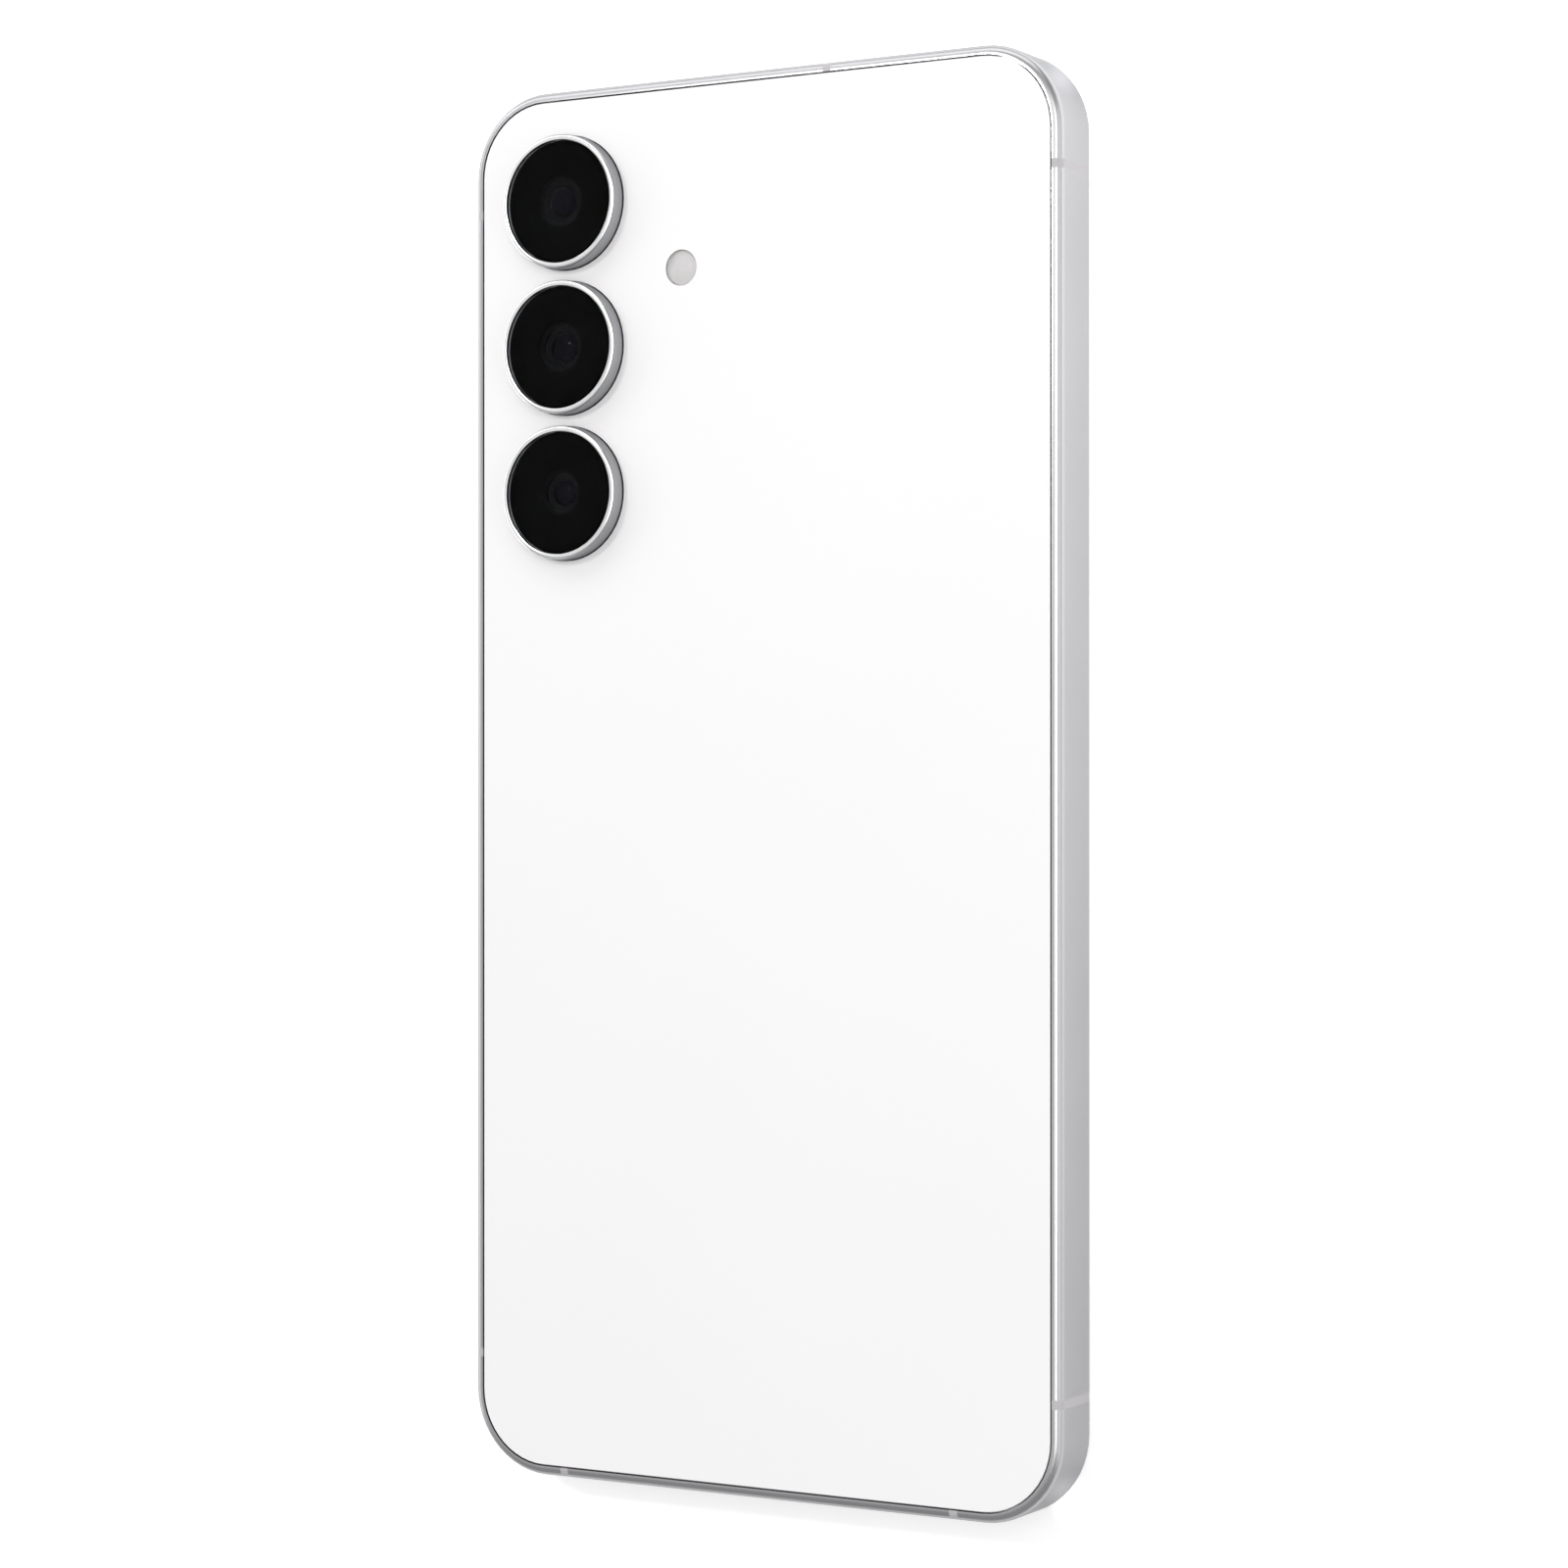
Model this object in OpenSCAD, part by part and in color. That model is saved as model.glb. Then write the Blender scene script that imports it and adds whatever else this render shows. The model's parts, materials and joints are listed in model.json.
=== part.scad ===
// Smartphone with a glass front, a glass rear panel and a metal frame, built as separate pieces.
// It lies on its front glass: +Z points out of the rear panel, +Y to the top end.
// The keys are on the -X side. The origin is the centre of the front glass's outer face.

/* [Body] */
// Width across the frame, without the keys
body_w = 76.6; // [76.2:0.1:77.4]
// Height from the bottom end to the top end
body_h = 161.3; // [161:0.1:162.4]
// Thickness over the two panels
body_t = 7.4; // [7.4:0.05:7.6]
// Radius of the four corners, seen from the rear
corner_r = 9.6; // [9.2:0.1:10.5]
// Inset of the seam between the frame and the rear panel
rear_seam = 1.12; // [1.0:0.02:1.2]
// Rounding of the frame's rear edge
rear_round = 1.0; // [0.9:0.05:1.05]
// Rounding of the frame's front edge
front_round = 0.3; // [0.2:0.05:0.4]
// Width of each antenna break
break_w = 1.0; // [0.8:0.1:1.2]

/* [Panels] */
// Thickness of the front and of the rear glass
glass_t = 0.6; // [0.5:0.05:0.6]
// Gap between the rear glass and the frame
seam_gap = 0.16; // [0.1:0.02:0.2]
// Thickness of the display panel
panel_t = 0.95; // [0.8:0.05:0.95]
// Thickness of the frame's middle plate
midplate_t = 0.6; // [0.6:0.05:0.65]

/* [Cameras] */
// Outer radius of a camera ring
ring_r = 7.75; // [7.6:0.05:7.9]
// Height of a camera ring above the rear glass
ring_h = 1.95; // [1.6:0.05:2.1]
// Rounding of a camera ring's top edge
ring_round = 0.35; // [0.2:0.05:0.4]
// Distance from one camera to the next
ring_pitch = 16.87; // [16.8:0.01:17]
// Radius of the dark window in a ring
window_r = 7.09; // [7:0.01:7.14]
// Distance of the cameras from the body's centre line
camera_x = -25.35; // [-25.7:0.05:-25.3]
// Distance of the top camera from the body's middle
camera_y = 67.47; // [67.4:0.01:67.6]
// Travel of a camera's autofocus carrier
af_travel = 0.35; // [0.2:0.05:0.35]

/* [Keys] */
// Height of the side key
side_key_l = 11; // [10:0.5:12]
// Height of the volume rocker
rocker_l = 22; // [20:0.5:23]
// Thickness of both keys
key_t = 2.2; // [2:0.1:2.3]
// How far the keys stand out of the frame
key_proud = 0.35; // [0.2:0.05:0.4]

/* [Ports] */
// Width of the socket's mouth
usb_w = 8.34; // [8.3:0.01:8.4]
// Height of the socket's mouth
usb_h = 2.56; // [2.5:0.01:2.6]
// Depth of the socket
usb_depth = 7.3; // [7:0.1:7.4]
// Width of the card tray's cap
tray_w = 13.4; // [13:0.1:13.6]
// Height of the card tray's cap
tray_h = 2.4; // [2.3:0.05:2.4]
// Radius of the eject hole in the tray's cap
eject_hole_r = 0.45; // [0.4:0.01:0.45]

/* [Hidden] */
$fn = 64;
eps = 0.01;
gap = 0.1;
half_w = body_w / 2;
half_h = body_h / 2;

// Heights of the layers
front_seam = 0.95;
lip_z = 0.08;
panel_z = glass_t + 0.02;
ledge_z = 0.8;
midplate_z = 1.85;
bay_z = midplate_z + midplate_t;
rear_glass_z = body_t - glass_t;
rear_ledge_z = rear_glass_z - 0.15;
cover_z = 5.85;
cover_top_z = 6.6;
mid_z = body_t / 2;

// Frame wall
wall = 2.4;
display_rebate = 1.9;
inner_w = body_w - 2 * wall;
inner_h = body_h - 2 * wall;
inner_r = corner_r - wall;

// Antenna breaks: the side's turn about Z, and the place along that side
BREAKS_LONG = [[0, 67], [0, -67], [180, 66.9], [180, -66.9]];
BREAKS_SHORT = [[90, -9.3], [270, -25.75], [270, 25.2]];

// Cameras
camera_ys = [for (i = [0:2]) camera_y - i * ring_pitch];
ring_top_z = body_t + ring_h;
ring_hole_r = ring_r + 0.12;
ring_bore_r = 6.3;
ring_flange_r = 8.3;
ring_flange_t = 0.4;
window_t = 0.5;
window_room = 0.04;
window_top_z = ring_top_z - 0.16;
flash_x = -9.74;
flash_y = 58.93;
flash_r = 2.0;
flash_z = 5.5;
flange_z = 6.3;
camera_z = 2.6;
camera_top_z = 6.1;
can_t = 0.35;
sensor_t = 0.9;
ring_wall_t = 0.5;
carrier_top_z = camera_top_z - can_t - 0.15 - af_travel;
lens_top_z = 8.2;
stabiliser_travel = 0.15;
main_side = 12.6;
main_barrel_r = 4.1;
tele_side = 11.4;
tele_barrel_r = 3.6;
wide_side = 10.6;
wide_barrel_r = 3.7;

// Front camera, earpiece and fingerprint sensor
front_camera_y = half_h - 7;
punch_r = 1.75;
earpiece_y = half_h - wall - 3.4;
slit_w = 11;
finger_y = -52;

// Main board bay and battery bay
board_x0 = -16.2;
board_x1 = half_w - wall - 1.2;
board_y0 = 28.2;
board_y1 = half_h - wall - 0.6;
board_z = 3.6;
board_top_z = board_z + 0.8;
battery_x0 = -32.5;
battery_x1 = 30;
battery_y0 = -57;
battery_y1 = 26.4;
battery_z = 2.6;
battery_top_z = 6.4;
chip_x = 12;
chip_y = 54;
coil_y = -14;
coil_r = 24;

// Keys
key_z = mid_z + 0.05;
side_key_y = 13;
rocker_y = 34;
key_face_x = -half_w - key_proud;
flange_x = -half_w + 1.0;
flange_t = 0.4;
flange_over = 0.7;
plunger_l = 0.5;
key_flex_x = -half_w + wall + 0.05;
rocker_dome = 7;
rocker_room = 0.3;

// Bottom end
usb_z = mid_z + 0.05;
usb_wall = 0.3;
usb_mouth_y = -half_h + 0.25;
tray_x = 16.5;
tray_z = 3.9;
tray_bed_w = 10.2;
tray_bed_x = tray_x - 1.5;
tray_bed_t = 0.9;
tray_bed_end_y = -61.8;
tray_cap_t = 1.3;
rod_x = tray_x + 5.0;
rod_y0 = -half_h + wall + 0.35;
rod_y1 = -60.25;
lever_y = -59.6;
lever_arm = 5.0;
pin_x = rod_x - lever_arm;
sub_z = 2.5;
sub_top_z = sub_z + 0.5;
lower_boss_z = 5.7;
mic_x = 6.9;
top_mic_x = 20;
top_mic_z = 4.8;
speaker_x = -15;
speaker_slot_l = 12;
speaker_slot_h = 1.2;
mic_r = 0.5;
port_bevel = 0.2;
hole_bevel = 0.12;
speaker_x0 = -half_w + wall + 0.9;
speaker_x1 = -7.2;
speaker_y0 = -half_h + wall + 1.0;
speaker_y1 = -59.6;
haptic_x0 = 25.2;
haptic_x1 = 34.9;
haptic_y0 = -73.4;
haptic_y1 = -60.2;
haptic_z1 = 6.1;
haptic_wall = 0.3;
haptic_travel = 0.35;

// Screws: places in the upper bay and in the lower bay, and their sizes
UPPER_SCREWS = [[-13.4, 67.5], [32, 74], [31.8, 31.9], [-13.4, 57], [30, 52]];
LOWER_SCREWS = [[-32.6, -61.4], [-9.2, -61.4], [-8.9, -75.2]];
screw_r = 0.68;
screw_hole_r = 0.7;
head_r = 1.2;
head_h = 0.4;
boss_r = 1.6;
boss_gap = 0.3;

// ---- outlines and shared shapes ----

module rounded_rect(w, h, r) {
    square([w - 2 * r, h], center = true);
    square([w, h - 2 * r], center = true);
    for (sx = [-1, 1], sy = [-1, 1]) translate([sx * (w / 2 - r), sy * (h / 2 - r)]) circle(r);
}

module stadium(l, d) {
    square([l - d, d], center = true);
    for (s = [-1, 1]) translate([s * (l - d) / 2, 0]) circle(d / 2);
}

module plate(w, h, r, z0, z1) {
    translate([0, 0, z0]) linear_extrude(z1 - z0) rounded_rect(w, h, r);
}

module block(x0, x1, y0, y1, z0, z1) {
    translate([x0, y0, z0]) cube([x1 - x0, y1 - y0, z1 - z0]);
}

module soft_block(x0, x1, y0, y1, z0, z1, r) {
    translate([(x0 + x1) / 2, (y0 + y1) / 2, 0]) plate(x1 - x0, y1 - y0, r, z0, z1);
}

module disc(x, y, z0, z1, r) {
    translate([x, y, z0]) cylinder(h = z1 - z0, r = r);
}

// A stadium that runs along X, extruded along Y
module end_slot(x, y0, y1, z, l, d) {
    translate([x, y1, z]) rotate([90, 0, 0]) linear_extrude(y1 - y0) stadium(l, d);
}

// A bevel round the mouth of a stadium in the bottom end
module end_bevel(x, z, l, d, bevel) {
    translate([x, -half_h, z]) rotate([90, 0, 0]) {
        for (s = [-1, 1]) translate([s * (l - d) / 2, 0, -bevel])
            cylinder(h = bevel + eps, r1 = d / 2, r2 = d / 2 + bevel + eps);
        if (l > d) rotate([90, 0, 90]) linear_extrude(l - d, center = true) polygon([
            [-d / 2, -bevel], [d / 2, -bevel], [d / 2 + bevel + eps, eps], [-d / 2 - bevel - eps, eps]
        ]);
    }
}

// A stadium that runs along Y, extruded along X
module side_slot(x0, x1, y, z, l, d) {
    translate([x0, y, z]) rotate([90, 0, 90]) linear_extrude(x1 - x0) stadium(l, d);
}

// Cross-section of an edge: u0 to u1 outward, z0 to z1 upward, outer corners rounded
module edge_profile(u0, u1, z0, z1, low_round, high_round) {
    translate([u0, z0 + low_round]) square([u1 - u0, z1 - z0 - low_round - high_round]);
    translate([u0, z0]) square([u1 - u0 - low_round, low_round + eps]);
    translate([u0, z1 - high_round - eps]) square([u1 - u0 - high_round, high_round + eps]);
    translate([u1 - low_round, z0 + low_round]) circle(low_round);
    translate([u1 - high_round, z1 - high_round]) circle(high_round);
}

// Carries a cross-section round a rounded rectangle; x = 0 of the section is the corner's centre
module race(w, h, r) {
    cx = w / 2 - r;
    cy = h / 2 - r;
    for (i = [0:3]) {
        sx = (i == 0 || i == 3) ? 1 : -1;
        sy = i < 2 ? 1 : -1;
        translate([sx * cx, sy * cy, 0]) rotate([0, 0, 90 * i]) rotate_extrude(angle = 90) children();
    }
    for (turn = [0, 180]) rotate([0, 0, turn]) translate([cx, 0, 0])
        rotate([90, 0, 0]) linear_extrude(2 * cy, center = true) children();
    for (turn = [90, 270]) rotate([0, 0, turn]) translate([cy, 0, 0])
        rotate([90, 0, 0]) linear_extrude(2 * cx, center = true) children();
}

// A flat panel with rounded edges all round
module panel(w, h, r, z0, z1, low_round, high_round) {
    race(w, h, r) edge_profile(0, r, z0, z1, low_round, high_round);
    block(-w / 2 + r, w / 2 - r, -h / 2 + r, h / 2 - r, z0, z1);
}

module at_screws(places) {
    for (p = places) translate([p[0], p[1], 0]) children();
}

module at_cameras() {
    for (y = camera_ys) translate([camera_x, y, 0]) children();
}

// ---- frame and panels ----

module band_section() {
    difference() {
        edge_profile(corner_r - wall, corner_r, lip_z, body_t, front_round, rear_round);
        translate([corner_r - wall - 1, rear_ledge_z]) square([wall + 1 - rear_seam, body_t]);
        translate([corner_r - wall - 1, -1]) square([wall + 1 - front_seam, ledge_z + 1]);
        translate([corner_r - wall - 1, -1]) square([wall + 1 - display_rebate, midplate_z + 1]);
    }
}

module break_boxes() {
    for (b = BREAKS_LONG) rotate([0, 0, b[0]])
        block(half_w - wall - 0.5, half_w + 1, b[1] - break_w / 2, b[1] + break_w / 2, -1, body_t + 1);
    for (b = BREAKS_SHORT) rotate([0, 0, b[0]])
        block(half_h - wall - 0.5, half_h + 1, b[1] - break_w / 2, b[1] + break_w / 2, -1, body_t + 1);
}

module key_opening(y, l, room) {
    side_slot(-half_w - 1, -half_w + wall + 0.1, y, key_z, l + 2 * gap, key_t + 2 * gap);
    side_slot(flange_x - room, -half_w + wall + 0.1, y, key_z,
        l + 2 * flange_over + 0.4, key_t + 2 * flange_over + 0.2);
}

module tray_opening() {
    end_slot(tray_x, -half_h - 1, -half_h + wall + 0.2, tray_z, tray_w + 2 * gap, tray_h + 2 * gap);
}

module socket_opening() {
    l = usb_w + 2 * usb_wall + gap;
    d = usb_h + 2 * usb_wall + gap;
    end_slot(0, -half_h - 1, -half_h + wall + 0.2, usb_z, l, d);
    end_bevel(0, usb_z, l, d, port_bevel);
}

module sound_openings() {
    end_slot(speaker_x, -half_h - 1, -half_h + wall + 0.2, mid_z, speaker_slot_l, speaker_slot_h);
    end_bevel(speaker_x, mid_z, speaker_slot_l, speaker_slot_h, hole_bevel);
    translate([mic_x, -half_h + 1, mid_z]) rotate([90, 0, 0]) cylinder(h = 5, r = mic_r, center = true);
    end_bevel(mic_x, mid_z, 2 * mic_r, 2 * mic_r, hole_bevel);
    translate([top_mic_x, half_h - 1, top_mic_z]) rotate([90, 0, 0])
        cylinder(h = 5, r = mic_r, center = true);
    translate([2 * top_mic_x, 0, 0]) rotate([0, 0, 180])
        end_bevel(top_mic_x, top_mic_z, 2 * mic_r, 2 * mic_r, hole_bevel);
    block(-slit_w / 2, slit_w / 2, half_h - wall - 0.5, half_h - 0.85, -1, 2.6);
}

module frame_openings() {
    key_opening(side_key_y, side_key_l, 0.05);
    key_opening(rocker_y, rocker_l, rocker_room);
    tray_opening();
    socket_opening();
    sound_openings();
}

module midplate_openings() {
    block(-5.2, 5.2, -half_h + wall, -half_h + wall + usb_depth - 1, 0, bay_z + 1);
    disc(0, front_camera_y, 0, bay_z + 1, 2.6);
    block(-4.6, 4.6, finger_y - 4.6, finger_y + 4.6, 0, bay_z + 1);
    block(-12, 12, -half_h + wall + 8.2, -half_h + wall + 10.2, 0, bay_z + 1);
    soft_block(-8.2, 28.2, -25.2, 63.2, 0, midplate_z + 0.4, 2.2);
}

module boss(x, y, top) {
    difference() {
        disc(x, y, bay_z - 0.1, top, boss_r);
        disc(x, y, bay_z + 0.6, top + 1, screw_hole_r);
    }
}

module frame() color("#d8d8dc") {
    difference() {
        union() {
            race(body_w, body_h, corner_r) band_section();
            plate(inner_w + 0.2, inner_h + 0.2, inner_r + 0.1, midplate_z, bay_z);
        }
        break_boxes();
        frame_openings();
        midplate_openings();
    }
    for (p = UPPER_SCREWS) boss(p[0], p[1], cover_z);
    for (p = LOWER_SCREWS) boss(p[0], p[1], lower_boss_z);
    block(battery_x1 + 0.3, battery_x1 + 1.1, battery_y0 + 2, battery_y1 - 2, bay_z - 0.1, 5.6);
    block(battery_x0 - 0.9, battery_x0 - 0.1, battery_y0 + 2, battery_y1 - 2, bay_z - 0.1, 5.6);
    block(battery_x0 + 4, 8, battery_y0 - 0.9, battery_y0 - 0.1, bay_z - 0.1, 5.2);
}

module antenna_breaks() color("#c2bfc3") {
    intersection() {
        race(body_w, body_h, corner_r) band_section();
        break_boxes();
    }
}

module rear_glass() color("#f6f5f6") {
    difference() {
        panel(body_w - 2 * (rear_seam + seam_gap), body_h - 2 * (rear_seam + seam_gap),
            corner_r - rear_seam - seam_gap, rear_glass_z, body_t, 0.05, 0.12);
        at_cameras() disc(0, 0, rear_glass_z - 1, body_t + 1, ring_hole_r);
        disc(flash_x, flash_y, rear_glass_z - 1, body_t + 1, flash_r + 0.05);
    }
}

module rear_adhesive() color("#2a2a2c") {
    outer = rear_seam + 0.4;
    translate([0, 0, rear_ledge_z]) linear_extrude(rear_glass_z - rear_ledge_z) difference() {
        rounded_rect(body_w - 2 * outer, body_h - 2 * outer, corner_r - outer);
        rounded_rect(inner_w + 0.2, inner_h + 0.2, inner_r + 0.1);
    }
    z = flange_z + ring_flange_t;
    at_cameras() translate([0, 0, z]) linear_extrude(rear_glass_z - z) difference() {
        circle(ring_flange_r);
        circle(ring_hole_r);
    }
}

module front_glass() color("#101114") {
    difference() {
        panel(body_w - 2 * front_seam - 0.1, body_h - 2 * front_seam - 0.1,
            corner_r - front_seam - 0.05, 0, glass_t, 0.3, 0.05);
        block(-slit_w / 2, slit_w / 2, half_h - 1.35, half_h, -1, 1);
    }
}

module display_adhesive() color("#26262a") {
    outer = front_seam + 0.15;
    inner = display_rebate - 0.05;
    difference() {
        translate([0, 0, glass_t]) linear_extrude(ledge_z - glass_t) difference() {
            rounded_rect(body_w - 2 * outer, body_h - 2 * outer, corner_r - outer);
            rounded_rect(body_w - 2 * inner, body_h - 2 * inner, corner_r - inner);
        }
        block(-slit_w / 2 - 0.4, slit_w / 2 + 0.4, half_h - 3, half_h, 0, 1);
    }
}

module display_panel() color("#08080a") {
    inset = display_rebate + 0.1;
    difference() {
        plate(body_w - 2 * inset, body_h - 2 * inset, corner_r - inset, panel_z, panel_z + panel_t);
        disc(0, front_camera_y, 0, 3, punch_r + 0.15);
        block(-slit_w / 2 - 0.4, slit_w / 2 + 0.4, half_h - 3, half_h, 0, 3);
    }
}

module display_flex() color("#b8762a") {
    z = panel_z + panel_t;
    y = -half_h + wall + 9.2;
    block(-10, 10, y - 4, y + 0.3, z, z + 0.15);
    block(-9, 9, y - 0.3, y + 0.3, z, sub_z);
}

module fingerprint_sensor() color("#3a3a40") {
    z = panel_z + panel_t;
    soft_block(-4.3, 4.3, finger_y - 4.3, finger_y + 4.3, z, bay_z - 0.05, 0.6);
}

module vapour_chamber() color("#b87333") {
    soft_block(-8, 28, -25, 63, midplate_z + 0.02, midplate_z + 0.37, 2);
}

// ---- rear cameras ----

module camera_rings() color("#dcdce0") {
    at_cameras() rotate_extrude() difference() {
        union() {
            edge_profile(ring_bore_r, ring_r, flange_z, ring_top_z, 0.05, ring_round);
            translate([ring_bore_r, flange_z]) square([ring_flange_r - ring_bore_r, ring_flange_t]);
        }
        translate([0, window_top_z - window_t]) square([window_r + window_room, window_t + 1]);
    }
}

module camera_windows() color("#0b0c10") {
    at_cameras() rotate_extrude()
        edge_profile(0, window_r, window_top_z - window_t, window_top_z, 0.04, 0.06);
}

module flash_lens() color("#eeeae2") {
    disc(flash_x, flash_y, flash_z, body_t - 0.2, flash_r - 0.02);
    translate([flash_x, flash_y, 0]) rotate_extrude()
        edge_profile(0, flash_r - 0.02, body_t - 0.4, body_t, 0.05, 0.12);
    disc(flash_x, flash_y, flash_z, flash_z + 0.35, flash_r + 0.5);
}

module flash_led() color("#e8c84a") {
    block(flash_x - 1.1, flash_x + 1.1, flash_y - 1.1, flash_y + 1.1, board_top_z, board_top_z + 0.9);
}

module camera_body(side, barrel_gap_r) {
    h = side / 2;
    difference() {
        soft_block(-h, h, -h, h, camera_z, camera_top_z, 0.5);
        block(-h + can_t, h - can_t, -h + can_t, h - can_t, camera_z + sensor_t, camera_top_z - can_t);
        disc(0, 0, camera_z + sensor_t, camera_top_z + 1, barrel_gap_r);
    }
}

// A square frame, open up and down
module square_ring(out_x, out_y, wall_t, z0, z1) {
    difference() {
        block(-out_x, out_x, -out_y, out_y, z0, z1);
        block(-out_x + wall_t, out_x - wall_t, -out_y + wall_t, out_y - wall_t, z0 - 1, z1 + 1);
    }
}

function carrier_half(side) = side / 2 - can_t - 0.15;
function stabiliser_room(side) = carrier_half(side) - ring_wall_t;

module focus_carrier(side) {
    h = carrier_half(side);
    square_ring(h, h, ring_wall_t, camera_z + sensor_t + 0.1, carrier_top_z);
}

module stabiliser_frame(side) {
    h = stabiliser_room(side);
    square_ring(h - stabiliser_travel - 0.1, h - 0.1, ring_wall_t - 0.05,
        camera_z + sensor_t + 0.15, carrier_top_z);
}

module lens_barrel(barrel_r) {
    rotate_extrude() difference() {
        union() {
            edge_profile(0, barrel_r, camera_z + sensor_t + 0.2, camera_top_z - 0.3, 0.1, 0.1);
            edge_profile(0, barrel_r - 0.4, camera_top_z - 1, lens_top_z, 0.1, 0.15);
        }
        translate([0, lens_top_z - 0.5]) square([barrel_r * 0.62, 1]);
        translate([0, lens_top_z - 0.9]) square([barrel_r * 0.42, 1]);
    }
}

module at_camera(i) {
    translate([camera_x, camera_ys[i], 0]) children();
}

module wide_camera() color("#26262c") {
    at_camera(0) {
        h = wide_side / 2;
        soft_block(-h, h, -h, h, camera_z, camera_top_z, 0.5);
        rotate_extrude() difference() {
            edge_profile(0, wide_barrel_r, camera_top_z - 0.5, lens_top_z + 0.2, 0.1, 0.15);
            translate([0, lens_top_z - 0.4]) square([wide_barrel_r * 0.7, 1]);
        }
    }
}

module main_camera_housing() color("#34343a") {
    at_camera(1) camera_body(main_side, main_barrel_r + 0.45);
}

module main_focus_carrier() color("#55555c") {
    at_camera(1) focus_carrier(main_side);
}

module main_stabiliser_frame() color("#6a6a72") {
    at_camera(1) stabiliser_frame(main_side);
}

module main_lens() color("#16161a") {
    at_camera(1) lens_barrel(main_barrel_r);
}

module tele_camera_housing() color("#34343a") {
    at_camera(2) camera_body(tele_side, tele_barrel_r + 0.45);
}

module tele_focus_carrier() color("#55555c") {
    at_camera(2) focus_carrier(tele_side);
}

module tele_stabiliser_frame() color("#6a6a72") {
    at_camera(2) stabiliser_frame(tele_side);
}

module tele_lens() color("#16161a") {
    at_camera(2) lens_barrel(tele_barrel_r);
}

module camera_bracket() color("#a8aab0") {
    difference() {
        soft_block(-32.4, -17.6, 27.6, 73.4, camera_top_z + 0.02, camera_top_z + 0.17, 1);
        at_cameras() disc(0, 0, 0, body_t, 5.2);
    }
    for (y = [42, 59.5]) block(-18.6, -17.6, y - 1.5, y + 1.5, bay_z, camera_top_z + 0.1);
}

// ---- upper bay ----

module bay_outline(z0, z1) {
    plate(inner_w - 1.2, inner_h - 1.2, inner_r - 0.6, z0, z1);
}

module front_camera() color("#1c1c20") {
    disc(0, front_camera_y, panel_z + 0.18, 1.7, punch_r);
    disc(0, front_camera_y, 1.6, 2.6, 2.4);
    soft_block(-3.1, 3.1, front_camera_y - 3.1, front_camera_y + 3.1, 2.55, 5.4, 0.4);
}

module earpiece() color("#2c2c32") {
    soft_block(-18.9, -3.9, earpiece_y - 2.8, earpiece_y + 2.8, bay_z + 0.05, 5.2, 0.8);
    block(-18, slit_w / 2 - 0.1, earpiece_y + 2.2, half_h - wall - 0.1, bay_z + 0.1, bay_z + 0.9);
}

module earpiece_mesh() color("#1a1a1c") {
    block(-slit_w / 2 + 0.1, slit_w / 2 - 0.1, half_h - 1.3, half_h - 0.9, 0.15, 0.35);
}

module main_board() color("#1f5a3a") {
    difference() {
        intersection() {
            block(board_x0, board_x1, board_y0, board_y1, board_z, board_top_z);
            bay_outline(0, body_t);
        }
        block(board_x0 - 1, slit_w / 2 + 0.5, front_camera_y - 3.5, half_h, 0, body_t);
        at_screws(UPPER_SCREWS) disc(0, 0, 0, body_t, boss_r + boss_gap);
    }
}

// A sheet-metal cover, open on the side of the board
module shield_can(x0, x1, y0, y1, z_open, z_closed) {
    t = 0.15;
    low = min(z_open, z_closed);
    high = max(z_open, z_closed);
    up = z_closed > z_open;
    difference() {
        soft_block(x0, x1, y0, y1, low, high, 0.5);
        block(x0 + t, x1 - t, y0 + t, y1 - t, up ? low - 1 : low + t, up ? high - t : high + 1);
    }
}

module board_shields() color("#b9bbc0") {
    shield_can(-1, 26, 44, 69, board_top_z, 5.6);
    shield_can(-14.6, -3, 34.4, 52, board_top_z, 5.4);
    shield_can(-5, 26, 35, 66, board_z, bay_z + 0.03);
}

module processor() color("#2b2b30") {
    soft_block(chip_x - 7, chip_x + 7, chip_y - 7, chip_y + 7, board_z - 0.85, board_z, 0.3);
    soft_block(0, 9, 38, 45, board_z - 0.6, board_z, 0.3);
    soft_block(4, 15, 50, 63, board_top_z, board_top_z + 0.8, 0.3);
    soft_block(18, 24, 50, 57, board_top_z, board_top_z + 0.6, 0.3);
    soft_block(-12, -6, 38, 46, board_top_z, board_top_z + 0.6, 0.3);
}

module mid_cover() color("#303034") {
    difference() {
        intersection() {
            block(-15.2, half_w, board_y0, half_h, cover_z, cover_top_z);
            plate(inner_w - 0.6, inner_h - 0.6, inner_r - 0.3, 0, body_t);
        }
        disc(flash_x, flash_y, 0, body_t, flash_r + 0.4);
        disc(flash_x, flash_y, flash_z - 0.1, body_t, flash_r + 0.7);
        at_screws(UPPER_SCREWS) {
            disc(0, 0, 0, body_t, screw_hole_r + 0.05);
            disc(0, 0, cover_top_z - head_h, body_t, head_r + 0.2);
        }
    }
}

module nfc_antenna() color("#b8762a") {
    translate([14, 50, cover_top_z]) linear_extrude(0.06) difference() {
        rounded_rect(26, 30, 3);
        rounded_rect(20, 24, 1.5);
    }
}

module top_microphone() color("#c9a64a") {
    block(top_mic_x - 1.4, top_mic_x + 1.4, half_h - wall - 3.4, half_h - wall - 0.7,
        board_top_z, board_top_z + 1);
}

// ---- battery bay ----

module battery() color("#3c3c42") {
    soft_block(battery_x0, battery_x1, battery_y0, battery_y1 - 4, battery_z, battery_top_z, 1.6);
    block(battery_x0 + 2, battery_x1 - 2, battery_y1 - 4.1, battery_y1, battery_z + 0.3, 5.4);
}

module battery_adhesive() color("#e4e4e8") {
    for (x = [-26, -1.25, 18]) soft_block(x, x + 8, battery_y0 + 5, battery_y1 - 9, bay_z, battery_z, 1);
}

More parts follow.
